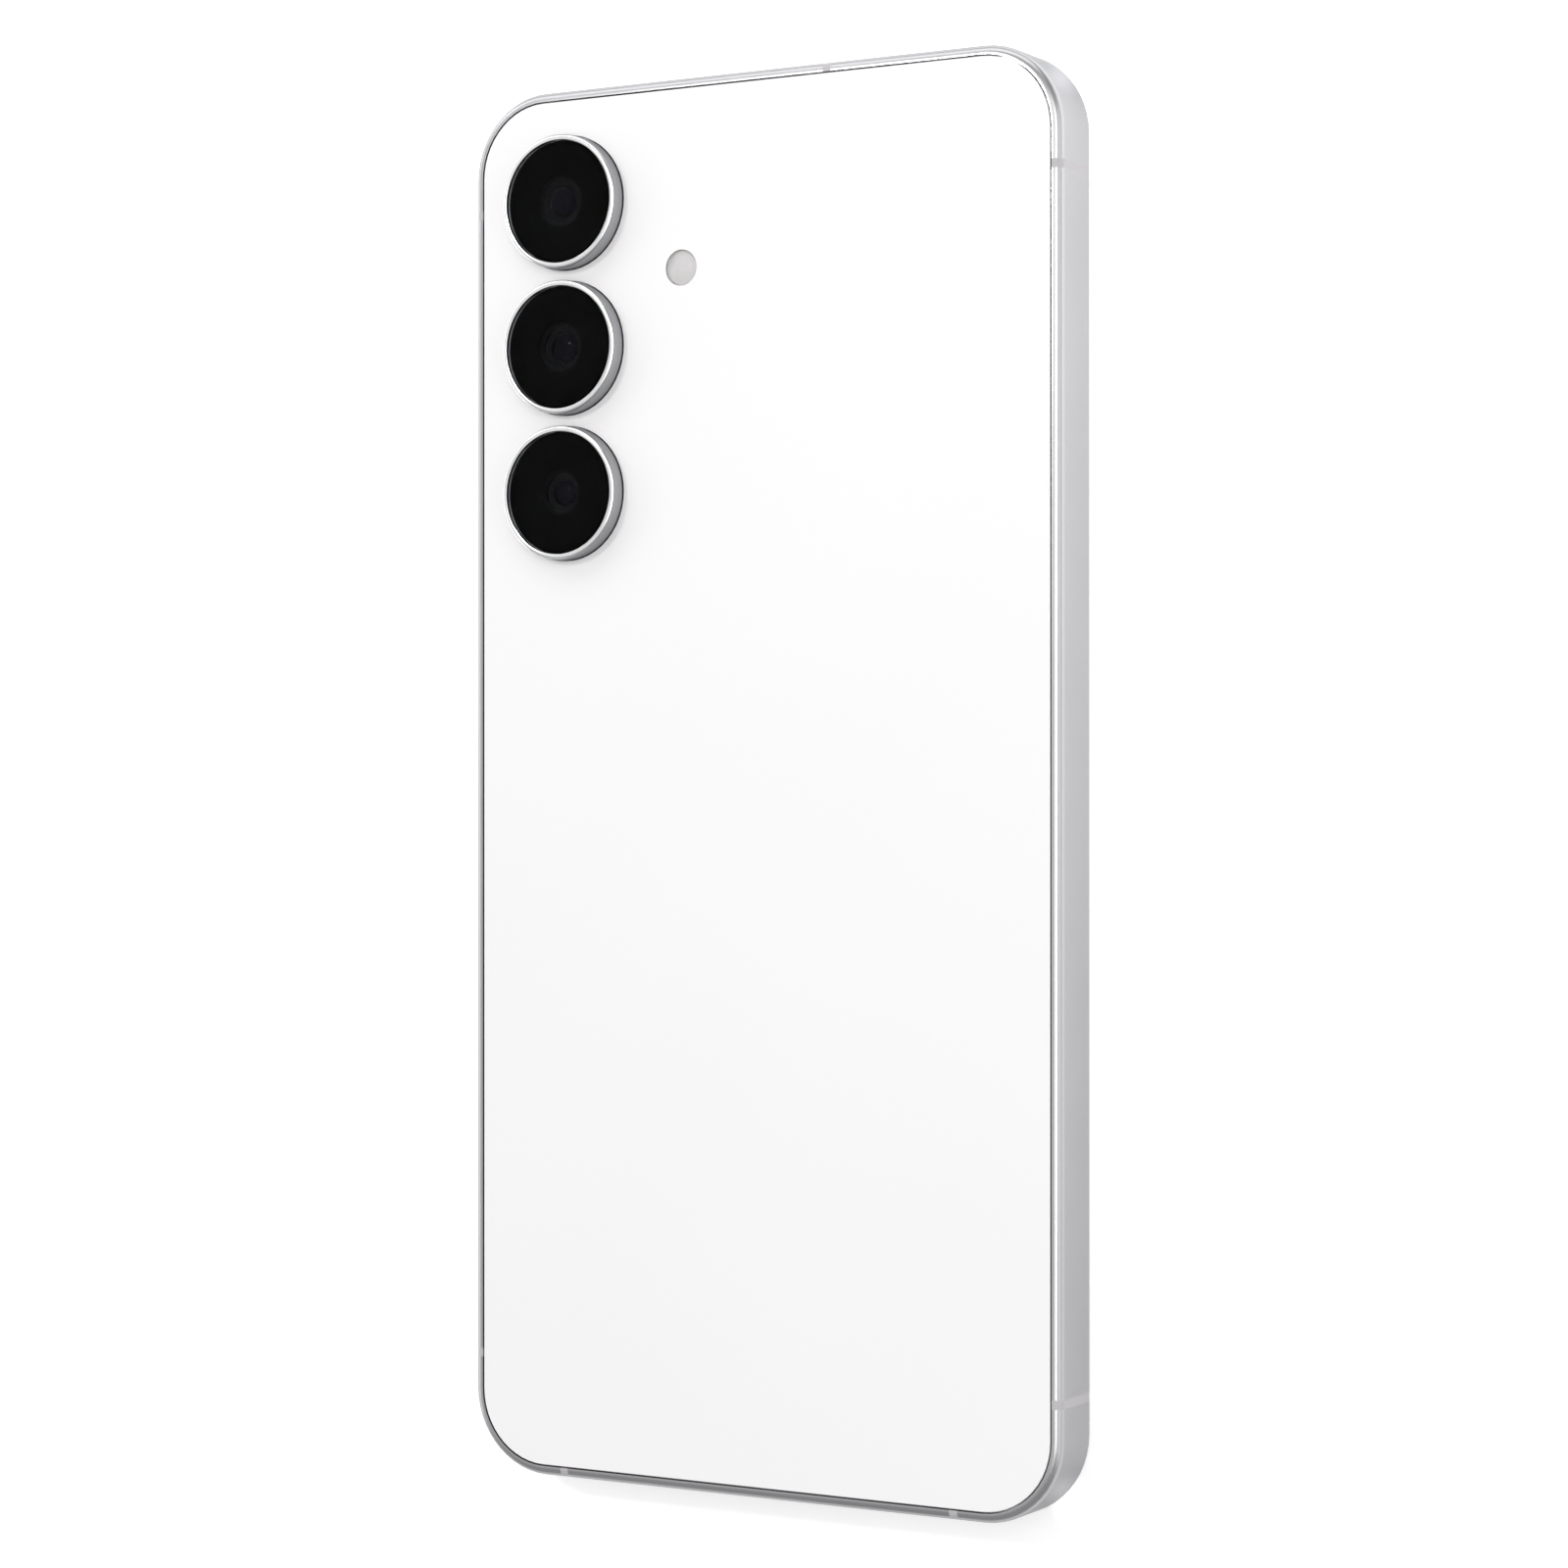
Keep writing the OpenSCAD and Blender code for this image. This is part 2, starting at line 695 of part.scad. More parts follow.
module battery_flex() color("#b8762a") {
    block(3, 11, battery_y1, 33, board_top_z + 0.1, board_top_z + 0.25);
    block(3.5, 10.5, 29.8, 32.4, board_top_z, board_top_z + 0.15);
}

module coil_shield() color("#4a4a50") {
    soft_block(-28.2, 25.8, coil_y - 31, coil_y + 31, battery_top_z + 0.02, battery_top_z + 0.13, 2);
}

module charging_coil() color("#b87333") {
    turns = 9;
    pitch = (coil_r - 10) / turns;
    translate([-1.2, coil_y, battery_top_z + 0.13]) rotate_extrude($fn = 128) {
        translate([10, 0]) square([coil_r - 10, 0.07]);
        for (i = [0:turns - 1]) translate([10 + i * pitch, 0]) square([pitch - 0.35, 0.2]);
    }
}

module interconnect_flex() color("#b8762a") {
    low = bay_z + 0.05;
    block(31.3, 35.3, -59.6, board_y0 - 0.1, low, low + 0.15);
    block(24.05, 35.3, -59.6, -57.4, low, low + 0.15);
    block(24.05, 24.2, -59.6, -57.4, low, sub_top_z + 0.15);
    block(22.8, 24.2, -59.6, -57.4, sub_top_z, sub_top_z + 0.15);
    block(31.3, 34.6, board_y0 - 0.3, board_y0 - 0.1, low, board_top_z + 0.15);
    block(31.3, 34.6, board_y0 - 0.3, 29.8, board_top_z, board_top_z + 0.15);
}

// A round wire through points that differ along one axis at a time
module wire(points, r) {
    for (i = [0:len(points) - 2]) {
        a = points[i];
        d = points[i + 1] - a;
        translate(a) rotate([0, acos(d[2] / norm(d)), atan2(d[1], d[0])]) cylinder(h = norm(d), r = r);
    }
    for (p = points) translate(p) sphere(r = r);
}

module coax_cables() color("#1b1b1d") {
    for (k = [0, 1]) {
        z = 4.75 + 0.7 * k;
        wire([[-14 + k, 29, z], [-14 + k, 27.3, z], [-34.4, 27.3, z], [-34.4, -58.8, z],
            [-5.5 + k, -58.8, z], [-5.5 + k, -58.8, 3.4]], 0.28);
    }
    block(-14.6, -12.4, 28.4, 30.2, board_top_z, 5.6);
    block(-6.2, -3.8, -59.6, -58.1, sub_top_z, 3.7);
}

// ---- keys ----

module key_flex() color("#b8762a") {
    block(key_flex_x, key_flex_x + 0.12, 6, 46, bay_z + 0.05, 5.2);
    for (y = [side_key_y, rocker_y + rocker_dome, rocker_y - rocker_dome])
        translate([key_flex_x - 0.22, y, key_z]) rotate([0, 90, 0]) cylinder(h = 0.25, r = 1.3);
}

module key_bracket() color("#a8aab0") {
    block(key_flex_x + 0.12, key_flex_x + 0.42, 6, 46, bay_z, 5.2);
    for (y = [8, 44]) block(key_flex_x + 0.12, key_flex_x + 1.0, y - 1.5, y + 1.5, bay_z, bay_z + 0.25);
}

module key_shape(y, l, plungers) {
    side_slot(key_face_x, flange_x + 0.02, y, key_z, l, key_t);
    side_slot(flange_x, flange_x + flange_t, y, key_z, l + 2 * flange_over, key_t + 2 * flange_over);
    for (p = plungers) translate([flange_x + flange_t - 0.02, y + p, key_z])
        rotate([0, 90, 0]) cylinder(h = plunger_l, r = 0.7);
}

module side_key() color("#d8d8dc") {
    key_shape(side_key_y, side_key_l, [0]);
}

module volume_rocker() color("#d8d8dc") {
    key_shape(rocker_y, rocker_l, [-rocker_dome, rocker_dome]);
}

// ---- lower bay ----

module sub_board() color("#1f5a3a") {
    difference() {
        block(speaker_x1 + 0.3, 24, -half_h + wall + 0.3, -58.1, sub_z, sub_top_z);
        block(-4.8, 4.8, -half_h, usb_mouth_y + usb_depth + 0.3, 0, body_t);
        disc(LOWER_SCREWS[1][0], LOWER_SCREWS[1][1], 0, body_t, boss_r + boss_gap);
    }
}

module usb_shell() color("#c4c6ca") {
    difference() {
        end_slot(0, usb_mouth_y, usb_mouth_y + usb_depth, usb_z, usb_w + 2 * usb_wall, usb_h + 2 * usb_wall);
        end_slot(0, usb_mouth_y - 1, usb_mouth_y + usb_depth - 0.4, usb_z, usb_w, usb_h);
    }
}

module usb_tongue() color("#232327") {
    y1 = usb_mouth_y + usb_depth - 0.4;
    block(-3.35, 3.35, usb_mouth_y + 1.3, y1, usb_z - 0.35, usb_z + 0.35);
    end_slot(0, y1 - 1.2, y1, usb_z, usb_w - 0.1, usb_h - 0.1);
}

module loudspeaker() color("#2c2c32") {
    difference() {
        intersection() {
            block(speaker_x0, speaker_x1, speaker_y0, speaker_y1, bay_z + 0.05, 6.3);
            bay_outline(0, body_t);
        }
        at_screws(LOWER_SCREWS) {
            disc(0, 0, 0, lower_boss_z, boss_r + boss_gap);
            disc(0, 0, 0, body_t, screw_hole_r + 0.05);
            disc(0, 0, lower_boss_z + 0.25, body_t, head_r + 0.2);
        }
    }
}

module speaker_mesh() color("#141416") {
    end_slot(speaker_x, -half_h + wall + 0.02, -half_h + wall + 0.22, mid_z,
        speaker_slot_l + 1.2, speaker_slot_h + 1.2);
}

module bottom_microphone() color("#c9a64a") {
    block(mic_x - 1.5, mic_x + 1.2, -half_h + wall + 0.3, -half_h + wall + 3.2, sub_top_z, sub_top_z + 1.1);
}

module sim_tray() color("#d8d8dc") {
    cap_y = -half_h + tray_cap_t;
    neck_y = -half_h + wall + 0.05;
    difference() {
        union() {
            end_slot(tray_x, -half_h, cap_y, tray_z, tray_w, tray_h);
            end_slot(tray_x, cap_y - 0.1, neck_y, tray_z, tray_w - 1.2, tray_h - 1.2);
            block(tray_bed_x - tray_bed_w / 2, tray_bed_x + tray_bed_w / 2, neck_y - 0.1,
                tray_bed_end_y, tray_z - tray_bed_t / 2, tray_z + tray_bed_t / 2);
        }
        soft_block(tray_bed_x - 4.45, tray_bed_x + 4.45, tray_bed_end_y - 14.1, tray_bed_end_y - 1.7,
            tray_z - tray_bed_t / 2 + 0.2, tray_z + 2, 0.6);
        soft_block(tray_bed_x - 3.6, tray_bed_x + 3.6, tray_bed_end_y - 12.6, tray_bed_end_y - 3.2, 0,
            body_t, 0.5);
        translate([rod_x, -half_h - 1, tray_z]) rotate([-90, 0, 0]) cylinder(h = wall + 2, r = eject_hole_r);
    }
}

module tray_gasket() color("#3a3a3e") {
    translate([tray_x, -half_h + tray_cap_t + 0.75, tray_z]) rotate([90, 0, 0])
        linear_extrude(0.7) difference() {
            stadium(tray_w - 0.1, tray_h - 0.1);
            stadium(tray_w - 1.2, tray_h - 1.2);
        }
}

module card_reader() color("#b9bbc0") {
    h = tray_bed_w / 2;
    y0 = -half_h + wall + 1.1;
    difference() {
        block(tray_bed_x - h - 0.5, tray_bed_x + h + 0.5, y0, tray_bed_end_y, sub_top_z, 4.75);
        block(tray_bed_x - h - 0.3, tray_bed_x + h + 0.3, y0 - 1, tray_bed_end_y + 1, sub_top_z + 0.2, 4.55);
    }
    for (ix = [-1, 0, 1], iy = [0, 1])
        block(tray_bed_x + ix * 2.5 - 0.5, tray_bed_x + ix * 2.5 + 0.5,
            tray_bed_end_y - 11 + iy * 5, tray_bed_end_y - 9.2 + iy * 5, sub_top_z + 0.1, sub_top_z + 0.35);
}

module eject_rod() color("#b9bbc0") {
    translate([rod_x, rod_y0, tray_z]) rotate([-90, 0, 0]) cylinder(h = rod_y1 - rod_y0, r = 0.55);
}

module eject_lever() color("#a8aab0") {
    difference() {
        union() {
            soft_block(pin_x - 4.6, pin_x + lever_arm + 0.5, lever_y - 0.5, lever_y + 0.5,
                tray_z - 0.45, tray_z + 0.45, 0.45);
            disc(pin_x, lever_y, tray_z - 0.45, tray_z + 0.45, 1.2);
        }
        disc(pin_x, lever_y, 0, body_t, 0.65);
    }
}

module lever_pin() color("#8e9096") {
    disc(pin_x, lever_y, sub_top_z, tray_z + 0.55, 0.6);
    disc(pin_x, lever_y, tray_z + 0.5, tray_z + 0.8, 1.0);
}

module haptic_case() color("#9a9ca2") {
    difference() {
        soft_block(haptic_x0, haptic_x1, haptic_y0, haptic_y1, bay_z + 0.05, haptic_z1, 0.8);
        block(haptic_x0 + haptic_wall, haptic_x1 - haptic_wall, haptic_y0 + haptic_wall,
            haptic_y1 - haptic_wall, bay_z + 0.05 + haptic_wall, haptic_z1 - haptic_wall);
    }
}

module haptic_mass() color("#6e6a66") {
    end_gap = haptic_wall + haptic_travel + 0.9;
    soft_block(haptic_x0 + 0.55, haptic_x1 - 0.55, haptic_y0 + end_gap, haptic_y1 - end_gap,
        bay_z + 0.55, haptic_z1 - 0.5, 0.5);
}

// ---- fasteners ----

module screw(head_z) {
    difference() {
        union() {
            disc(0, 0, bay_z + 0.75, head_z + 0.05, screw_r);
            disc(0, 0, head_z, head_z + head_h, head_r);
        }
        for (turn = [0, 90]) rotate([0, 0, turn]) block(-0.7, 0.7, -0.14, 0.14, head_z + 0.15, head_z + 1);
    }
}

module screws() color("#c9cacd") {
    at_screws(UPPER_SCREWS) screw(cover_top_z - head_h);
    at_screws(LOWER_SCREWS) screw(lower_boss_z + 0.25);
}

frame();
antenna_breaks();
rear_glass();
rear_adhesive();
camera_rings();
camera_windows();
flash_lens();
flash_led();
front_glass();
display_adhesive();
display_panel();
display_flex();
fingerprint_sensor();
front_camera();
earpiece();
earpiece_mesh();
vapour_chamber();
main_board();
board_shields();
processor();
mid_cover();
nfc_antenna();
charging_coil();
coil_shield();
battery();
battery_adhesive();
battery_flex();
wide_camera();
main_camera_housing();
main_focus_carrier();
main_stabiliser_frame();
main_lens();
tele_camera_housing();
tele_focus_carrier();
tele_stabiliser_frame();
tele_lens();
camera_bracket();
sub_board();
usb_shell();
usb_tongue();
loudspeaker();
speaker_mesh();
bottom_microphone();
top_microphone();
interconnect_flex();
coax_cables();
key_flex();
key_bracket();
side_key();
volume_rocker();
sim_tray();
tray_gasket();
card_reader();
eject_rod();
eject_lever();
lever_pin();
haptic_case();
haptic_mass();
screws();
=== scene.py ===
"""Looks of a smartphone: white glass rear, satin metal band, three round camera windows."""
import bpy
import bmesh
import json
import math
from mathutils import Matrix, Vector


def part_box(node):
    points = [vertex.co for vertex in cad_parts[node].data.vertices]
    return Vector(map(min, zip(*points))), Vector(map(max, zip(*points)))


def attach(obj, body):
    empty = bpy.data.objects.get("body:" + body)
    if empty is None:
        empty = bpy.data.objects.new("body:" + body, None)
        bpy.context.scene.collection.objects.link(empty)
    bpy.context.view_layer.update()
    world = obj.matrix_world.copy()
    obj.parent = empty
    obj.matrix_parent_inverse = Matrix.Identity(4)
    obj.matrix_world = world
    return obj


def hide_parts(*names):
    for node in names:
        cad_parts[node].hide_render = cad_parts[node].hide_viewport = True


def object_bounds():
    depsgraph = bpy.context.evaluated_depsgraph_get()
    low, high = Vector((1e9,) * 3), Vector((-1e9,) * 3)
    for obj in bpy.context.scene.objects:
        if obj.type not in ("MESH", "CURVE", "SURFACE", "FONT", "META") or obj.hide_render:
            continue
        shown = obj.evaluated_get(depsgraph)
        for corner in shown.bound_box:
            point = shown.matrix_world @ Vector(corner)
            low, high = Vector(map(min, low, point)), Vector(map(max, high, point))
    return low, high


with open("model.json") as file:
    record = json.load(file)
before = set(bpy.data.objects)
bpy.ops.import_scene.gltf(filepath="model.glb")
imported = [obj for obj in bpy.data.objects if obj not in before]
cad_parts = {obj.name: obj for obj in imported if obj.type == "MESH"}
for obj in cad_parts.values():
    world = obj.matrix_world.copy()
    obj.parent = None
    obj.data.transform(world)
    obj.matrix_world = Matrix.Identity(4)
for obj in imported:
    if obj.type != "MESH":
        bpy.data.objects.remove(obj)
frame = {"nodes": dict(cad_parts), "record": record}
NODES = frame["nodes"]
CAD_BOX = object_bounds()

MM = 0.001


def centre_of(box):
    return (box[0] + box[1]) / 2


# ---------------------------------------------------------------- places, from the frame

REAR_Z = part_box("rear_glass")[1].z
RING_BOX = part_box("camera_rings")
WINDOW_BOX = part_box("camera_windows")
FLASH_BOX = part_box("flash_lens")
TONGUE_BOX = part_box("usb_tongue")
SHELL_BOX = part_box("usb_shell")
MESH_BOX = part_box("speaker_mesh")
FRONT_CAMERA_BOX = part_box("front_camera")
FRONT_GLASS_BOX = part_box("front_glass")
PANEL_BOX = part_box("display_panel")

WINDOW_R = (WINDOW_BOX[1].x - WINDOW_BOX[0].x) / 2
CAMERA_X = centre_of(WINDOW_BOX).x
CAMERA_YS = [WINDOW_BOX[1].y - WINDOW_R, centre_of(WINDOW_BOX).y, WINDOW_BOX[0].y + WINDOW_R]
CAMERA_NAMES = ["wide", "main", "tele"]
LENS_NODES = ["wide_camera", "main_lens", "tele_lens"]
LENS_BODIES = ["housing", "main_lens", "tele_lens"]
APERTURE_R = [3.0 * MM, 2.9 * MM, 2.6 * MM]
RECESS_R = [2.55 * MM, 2.5 * MM, 2.19 * MM]
RECESS_DEPTH = [0.38 * MM, 0.48 * MM, 0.48 * MM]

RING_R = 7.75 * MM
RING_BORE_R = 6.3 * MM
RING_ROUND = 0.35 * MM
RING_FLANGE_T = 0.4 * MM
CORNER_R = 9.6 * MM

RING_SEGMENTS = 160
WINDOW_SEGMENTS = 128
WELD_GAP = 0.001 * MM
SMOOTH_ANGLE = math.radians(32)
BEVEL_ANGLE = math.radians(50)
KEY_EDGE, TONGUE_EDGE = 0.14 * MM, 0.06 * MM


# ---------------------------------------------------------------- materials

NOISE_SPAN = (0.3, 0.7)
WHITE = (1.0, 1.0, 1.0, 1.0)
# painted shade: the near-black colour of the glass's sideways faces, standing in for the shade in
# the seam and round the holes
SEAM_SHADE = (0.05, 0.05, 0.055, 1.0)
# how far the surface faces the rear; over this span that painted shade fades into the white ink
SHADE_TO_INK = (0.15, 0.6)


def new_material(name, colour, metallic=0.0, roughness=0.5, **sockets):
    """A Principled material; sockets are the shader's own inputs, by name with _ for spaces."""
    mat = bpy.data.materials.new(name)
    mat.use_nodes = True
    shader = mat.node_tree.nodes["Principled BSDF"]
    shader.inputs["Base Color"].default_value = (*colour, 1.0)
    shader.inputs["Metallic"].default_value = metallic
    shader.inputs["Roughness"].default_value = roughness
    for key, value in sockets.items():
        shader.inputs[key.replace("_", " ")].default_value = value
    return mat


def noise(mat, cell, detail=3.0, stretch=(1.0, 1.0, 1.0)):
    """Noise with cells about `cell` metres across; a stretch below 1 draws them out."""
    tree = mat.node_tree
    coord = tree.nodes.new("ShaderNodeTexCoord")
    mapping = tree.nodes.new("ShaderNodeMapping")
    mapping.inputs["Scale"].default_value = [s / cell for s in stretch]
    texture = tree.nodes.new("ShaderNodeTexNoise")
    texture.inputs["Scale"].default_value = 1.0
    texture.inputs["Detail"].default_value = detail
    tree.links.new(coord.outputs["Object"], mapping.inputs["Vector"])
    tree.links.new(mapping.outputs["Vector"], texture.inputs["Vector"])
    return texture.outputs["Fac"]


def map_range(tree, source, span, result=(0.0, 1.0), kind="LINEAR"):
    """Maps a value from one span to another, held at both ends."""
    node = tree.nodes.new("ShaderNodeMapRange")
    node.interpolation_type = kind
    for key, value in zip(("From Min", "From Max", "To Min", "To Max"), (*span, *result)):
        node.inputs[key].default_value = value
    tree.links.new(source, node.inputs["Value"])
    return node.outputs["Result"]


def vary_roughness(mat, source, low, high):
    tree = mat.node_tree
    tree.links.new(map_range(tree, source, NOISE_SPAN, (low, high)),
                   tree.nodes["Principled BSDF"].inputs["Roughness"])


def vary_colour(mat, source, dark, light):
    tree = mat.node_tree
    ramp = tree.nodes.new("ShaderNodeValToRGB")
    for k, tone in enumerate((dark, light)):
        ramp.color_ramp.elements[k].position = NOISE_SPAN[k]
        ramp.color_ramp.elements[k].color = (*tone, 1.0)
    tree.links.new(source, ramp.inputs["Fac"])
    tree.links.new(ramp.outputs["Color"], tree.nodes["Principled BSDF"].inputs["Base Color"])


def bump(mat, source, depth, strength=1.0):
    tree = mat.node_tree
    node = tree.nodes.new("ShaderNodeBump")
    node.inputs["Strength"].default_value = strength
    node.inputs["Distance"].default_value = depth
    tree.links.new(source, node.inputs["Height"])
    tree.links.new(node.outputs["Normal"], tree.nodes["Principled BSDF"].inputs["Normal"])


def shade(colour, factor):
    return tuple(min(1.0, c * factor) for c in colour)


def grained(name, colour, cell, metallic=0.0, roughness=0.5, spread=0.06, tone=0.06, depth=0.0,
            stretch=(1.0, 1.0, 1.0), **sockets):
    """A surface with a fine grain that varies its colour, roughness and height."""
    mat = new_material(name, colour, metallic, roughness, **sockets)
    source = noise(mat, cell, stretch=stretch)
    vary_colour(mat, source, shade(colour, 1 - tone), shade(colour, 1 + tone))
    vary_roughness(mat, source, roughness - spread, roughness + spread)
    if depth:
        bump(mat, source, depth)
    return mat


def satin_metal(name, colour, roughness, edge_tint):
    """Blasted and anodised aluminium: a fine even grain over slow roughness variation."""
    mat = new_material(name, colour, 1.0, roughness, Specular_Tint=edge_tint)
    slow = noise(mat, 9 * MM, detail=2.0)
    vary_colour(mat, slow, shade(colour, 0.985), shade(colour, 1.015))
    vary_roughness(mat, slow, roughness - 0.02, roughness + 0.02)
    bump(mat, noise(mat, 0.09 * MM, detail=2.0), 0.0012 * MM, 0.6)
    return mat


def turned_metal(name, colour, roughness, anisotropy=0.0):
    """Lathe-turned metal: fine lines round the object's own Z axis."""
    mat = new_material(name, colour, 1.0, roughness, Anisotropic=anisotropy,
                       Specular_Tint=(0.5, 0.5, 0.51, 1.0))
    tree = mat.node_tree
    coord = tree.nodes.new("ShaderNodeTexCoord")
    flat = tree.nodes.new("ShaderNodeVectorMath")
    flat.operation = "MULTIPLY"
    flat.inputs[1].default_value = (1.0, 1.0, 0.0)
    radius = tree.nodes.new("ShaderNodeVectorMath")
    radius.operation = "LENGTH"
    axes = tree.nodes.new("ShaderNodeSeparateXYZ")
    pair = tree.nodes.new("ShaderNodeCombineXYZ")
    texture = tree.nodes.new("ShaderNodeTexNoise")
    texture.inputs["Scale"].default_value = 1 / (0.12 * MM)
    texture.inputs["Detail"].default_value = 3.0
    tree.links.new(coord.outputs["Object"], flat.inputs[0])
    tree.links.new(flat.outputs["Vector"], radius.inputs[0])
    tree.links.new(coord.outputs["Object"], axes.inputs["Vector"])
    tree.links.new(radius.outputs["Value"], pair.inputs["X"])
    tree.links.new(axes.outputs["Z"], pair.inputs["Y"])
    tree.links.new(pair.outputs["Vector"], texture.inputs["Vector"])
    lines = texture.outputs["Fac"]
    vary_colour(mat, lines, shade(colour, 0.94), shade(colour, 1.06))
    vary_roughness(mat, lines, roughness - 0.05, roughness + 0.06)
    bump(mat, lines, 0.002 * MM, 0.5)
    return mat


def white_panel_glass():
    """White ink seen through polished glass; its sides, which face into the seam and the holes,
    are painted near black: a painted shade for the seam and the hole edges.
    """
    mat = new_material("rear_white_glass", (0.81, 0.8, 0.803), 0.0, 0.42,
                       Coat_Weight=1.0, Coat_Roughness=0.05, Coat_IOR=1.5)
    tree = mat.node_tree
    slow = noise(mat, 30 * MM, detail=1.0)
    vary_colour(mat, slow, (0.807, 0.797, 0.8), (0.813, 0.803, 0.806))
    shader = tree.nodes["Principled BSDF"]
    ink = shader.inputs["Base Color"].links[0].from_socket
    coord = tree.nodes.new("ShaderNodeTexCoord")
    axes = tree.nodes.new("ShaderNodeSeparateXYZ")
    # painted shade: the colour fades to near black where the glass faces sideways
    mix = tree.nodes.new("ShaderNodeMix")
    mix.data_type = "RGBA"
    mix.inputs["A"].default_value = SEAM_SHADE
    tree.links.new(coord.outputs["Normal"], axes.inputs["Vector"])
    tree.links.new(map_range(tree, axes.outputs["Z"], SHADE_TO_INK), mix.inputs["Factor"])
    tree.links.new(ink, mix.inputs["B"])
    tree.links.new(mix.outputs["Result"], shader.inputs["Base Color"])
    return mat


def clear_glass(name, tint=(1.0, 1.0, 1.0), roughness=0.0, ior=1.5):
    mat = new_material(name, tint, 0.0, roughness, Transmission_Weight=1.0, IOR=ior)
    vary_roughness(mat, noise(mat, 6 * MM, detail=2.0), roughness, roughness + 0.012)
    return mat


def woven_bump(mat, pitch, depth):
    """A fine grid of round holes or threads."""
    tree = mat.node_tree
    coord = tree.nodes.new("ShaderNodeTexCoord")
    cells = tree.nodes.new("ShaderNodeTexVoronoi")
    cells.inputs["Scale"].default_value = 1 / pitch
    cells.inputs["Randomness"].default_value = 0.0
    tree.links.new(coord.outputs["Object"], cells.inputs["Vector"])
    bump(mat, cells.outputs["Distance"], depth)
    return mat


MATERIALS = {
    "satin_aluminium": satin_metal("satin_aluminium", (0.48, 0.48, 0.492), 0.3,
                                   (0.54, 0.54, 0.55, 1.0)),
    "antenna_plastic": grained("antenna_plastic", (0.43, 0.415, 0.428), 0.3 * MM, roughness=0.42,
                               tone=0.02),
    "rear_white_glass": white_panel_glass(),
    # painted shade: the ring's wall is toned much darker than its lip, for the shade it reflects
    # from the panel beside the ring
    "ring_metal": turned_metal("ring_metal", (0.44, 0.44, 0.455), 0.38, 0.8),
    "ring_lip": turned_metal("ring_lip", (0.86, 0.86, 0.865), 0.16),
    "window_glass": clear_glass("window_glass", ior=1.06),
    "front_black_glass": clear_glass("front_black_glass"),
    "flash_plastic": grained("flash_plastic", (0.78, 0.775, 0.78), 0.4 * MM, roughness=0.35,
                             tone=0.02),
    "phosphor": grained("phosphor", (0.9, 0.76, 0.25), 0.1 * MM, roughness=0.7, depth=0.01 * MM),
    "adhesive": grained("adhesive", (0.03, 0.03, 0.03), 0.2 * MM, roughness=0.85, depth=0.02 * MM),
    "white_tape": grained("white_tape", (0.85, 0.85, 0.87), 0.6 * MM, roughness=0.6),
    "display_black": grained("display_black", (0.004, 0.004, 0.006), 8 * MM, roughness=0.12,
                             spread=0.02, Specular_IOR_Level=0.12),
    "flex_polyimide": grained("flex_polyimide", (0.6, 0.32, 0.08), 1.5 * MM, roughness=0.35,
                              tone=0.12),
    "board_green": grained("board_green", (0.05, 0.22, 0.12), 0.8 * MM, roughness=0.4, tone=0.2,
                           depth=0.01 * MM),
    "tin_plate": grained("tin_plate", (0.7, 0.71, 0.73), 0.5 * MM, 1.0, 0.32,
                         stretch=(1.0, 0.1, 1.0)),
    "steel": grained("steel", (0.62, 0.63, 0.65), 0.4 * MM, 1.0, 0.3, stretch=(1.0, 0.12, 1.0)),
    "copper": grained("copper", (0.78, 0.42, 0.26), 0.7 * MM, 1.0, 0.35, tone=0.1),
    "chip_black": grained("chip_black", (0.05, 0.05, 0.055), 0.1 * MM, roughness=0.55,
                          depth=0.003 * MM),
    "cover_black": grained("cover_black", (0.045, 0.045, 0.05), 0.15 * MM, roughness=0.5,
                           depth=0.004 * MM),
    "mesh_dark": woven_bump(grained("mesh_dark", (0.05, 0.05, 0.053), 0.12 * MM, roughness=0.5),
                            0.22 * MM, 0.08 * MM),
    "graphite": grained("graphite", (0.12, 0.12, 0.13), 1.2 * MM, roughness=0.4, depth=0.01 * MM),
    "battery_foil": grained("battery_foil", (0.1, 0.1, 0.11), 2 * MM, roughness=0.38,
                            depth=0.01 * MM),
    "camera_black": grained("camera_black", (0.005, 0.005, 0.006), 0.1 * MM, roughness=0.5,
                            depth=0.003 * MM, Specular_IOR_Level=0.05),
    "carrier_grey": grained("carrier_grey", (0.25, 0.25, 0.27), 0.2 * MM, roughness=0.5),
    "gilt_can": grained("gilt_can", (0.8, 0.66, 0.33), 0.4 * MM, 1.0, 0.3),
    "cable_black": grained("cable_black", (0.03, 0.03, 0.03), 0.5 * MM, roughness=0.45),
    "tungsten": grained("tungsten", (0.38, 0.37, 0.36), 0.2 * MM, 1.0, 0.5, depth=0.005 * MM),
    "mask_black": grained("mask_black", (0.0018, 0.0018, 0.002), 3 * MM, roughness=0.6, tone=0.1,
                          Specular_IOR_Level=0.01),
    "lens_glass": grained("lens_glass", (0.0015, 0.0015, 0.003), 1.5 * MM, roughness=0.03,
                          spread=0.01, tone=0.3, IOR=1.18,
                          Specular_Tint=(0.85, 0.8, 1.0, 1.0)),
    "flash_cover": clear_glass("flash_cover", tint=(0.98, 0.975, 0.97), ior=1.2),
    "contact_gold": grained("contact_gold", (0.95, 0.74, 0.38), 0.3 * MM, 1.0, 0.22),
    "mesh_wire": grained("mesh_wire", (0.35, 0.35, 0.36), 0.1 * MM, 1.0, 0.35),
}


# ---------------------------------------------------------------- CAD nodes: finish and shading

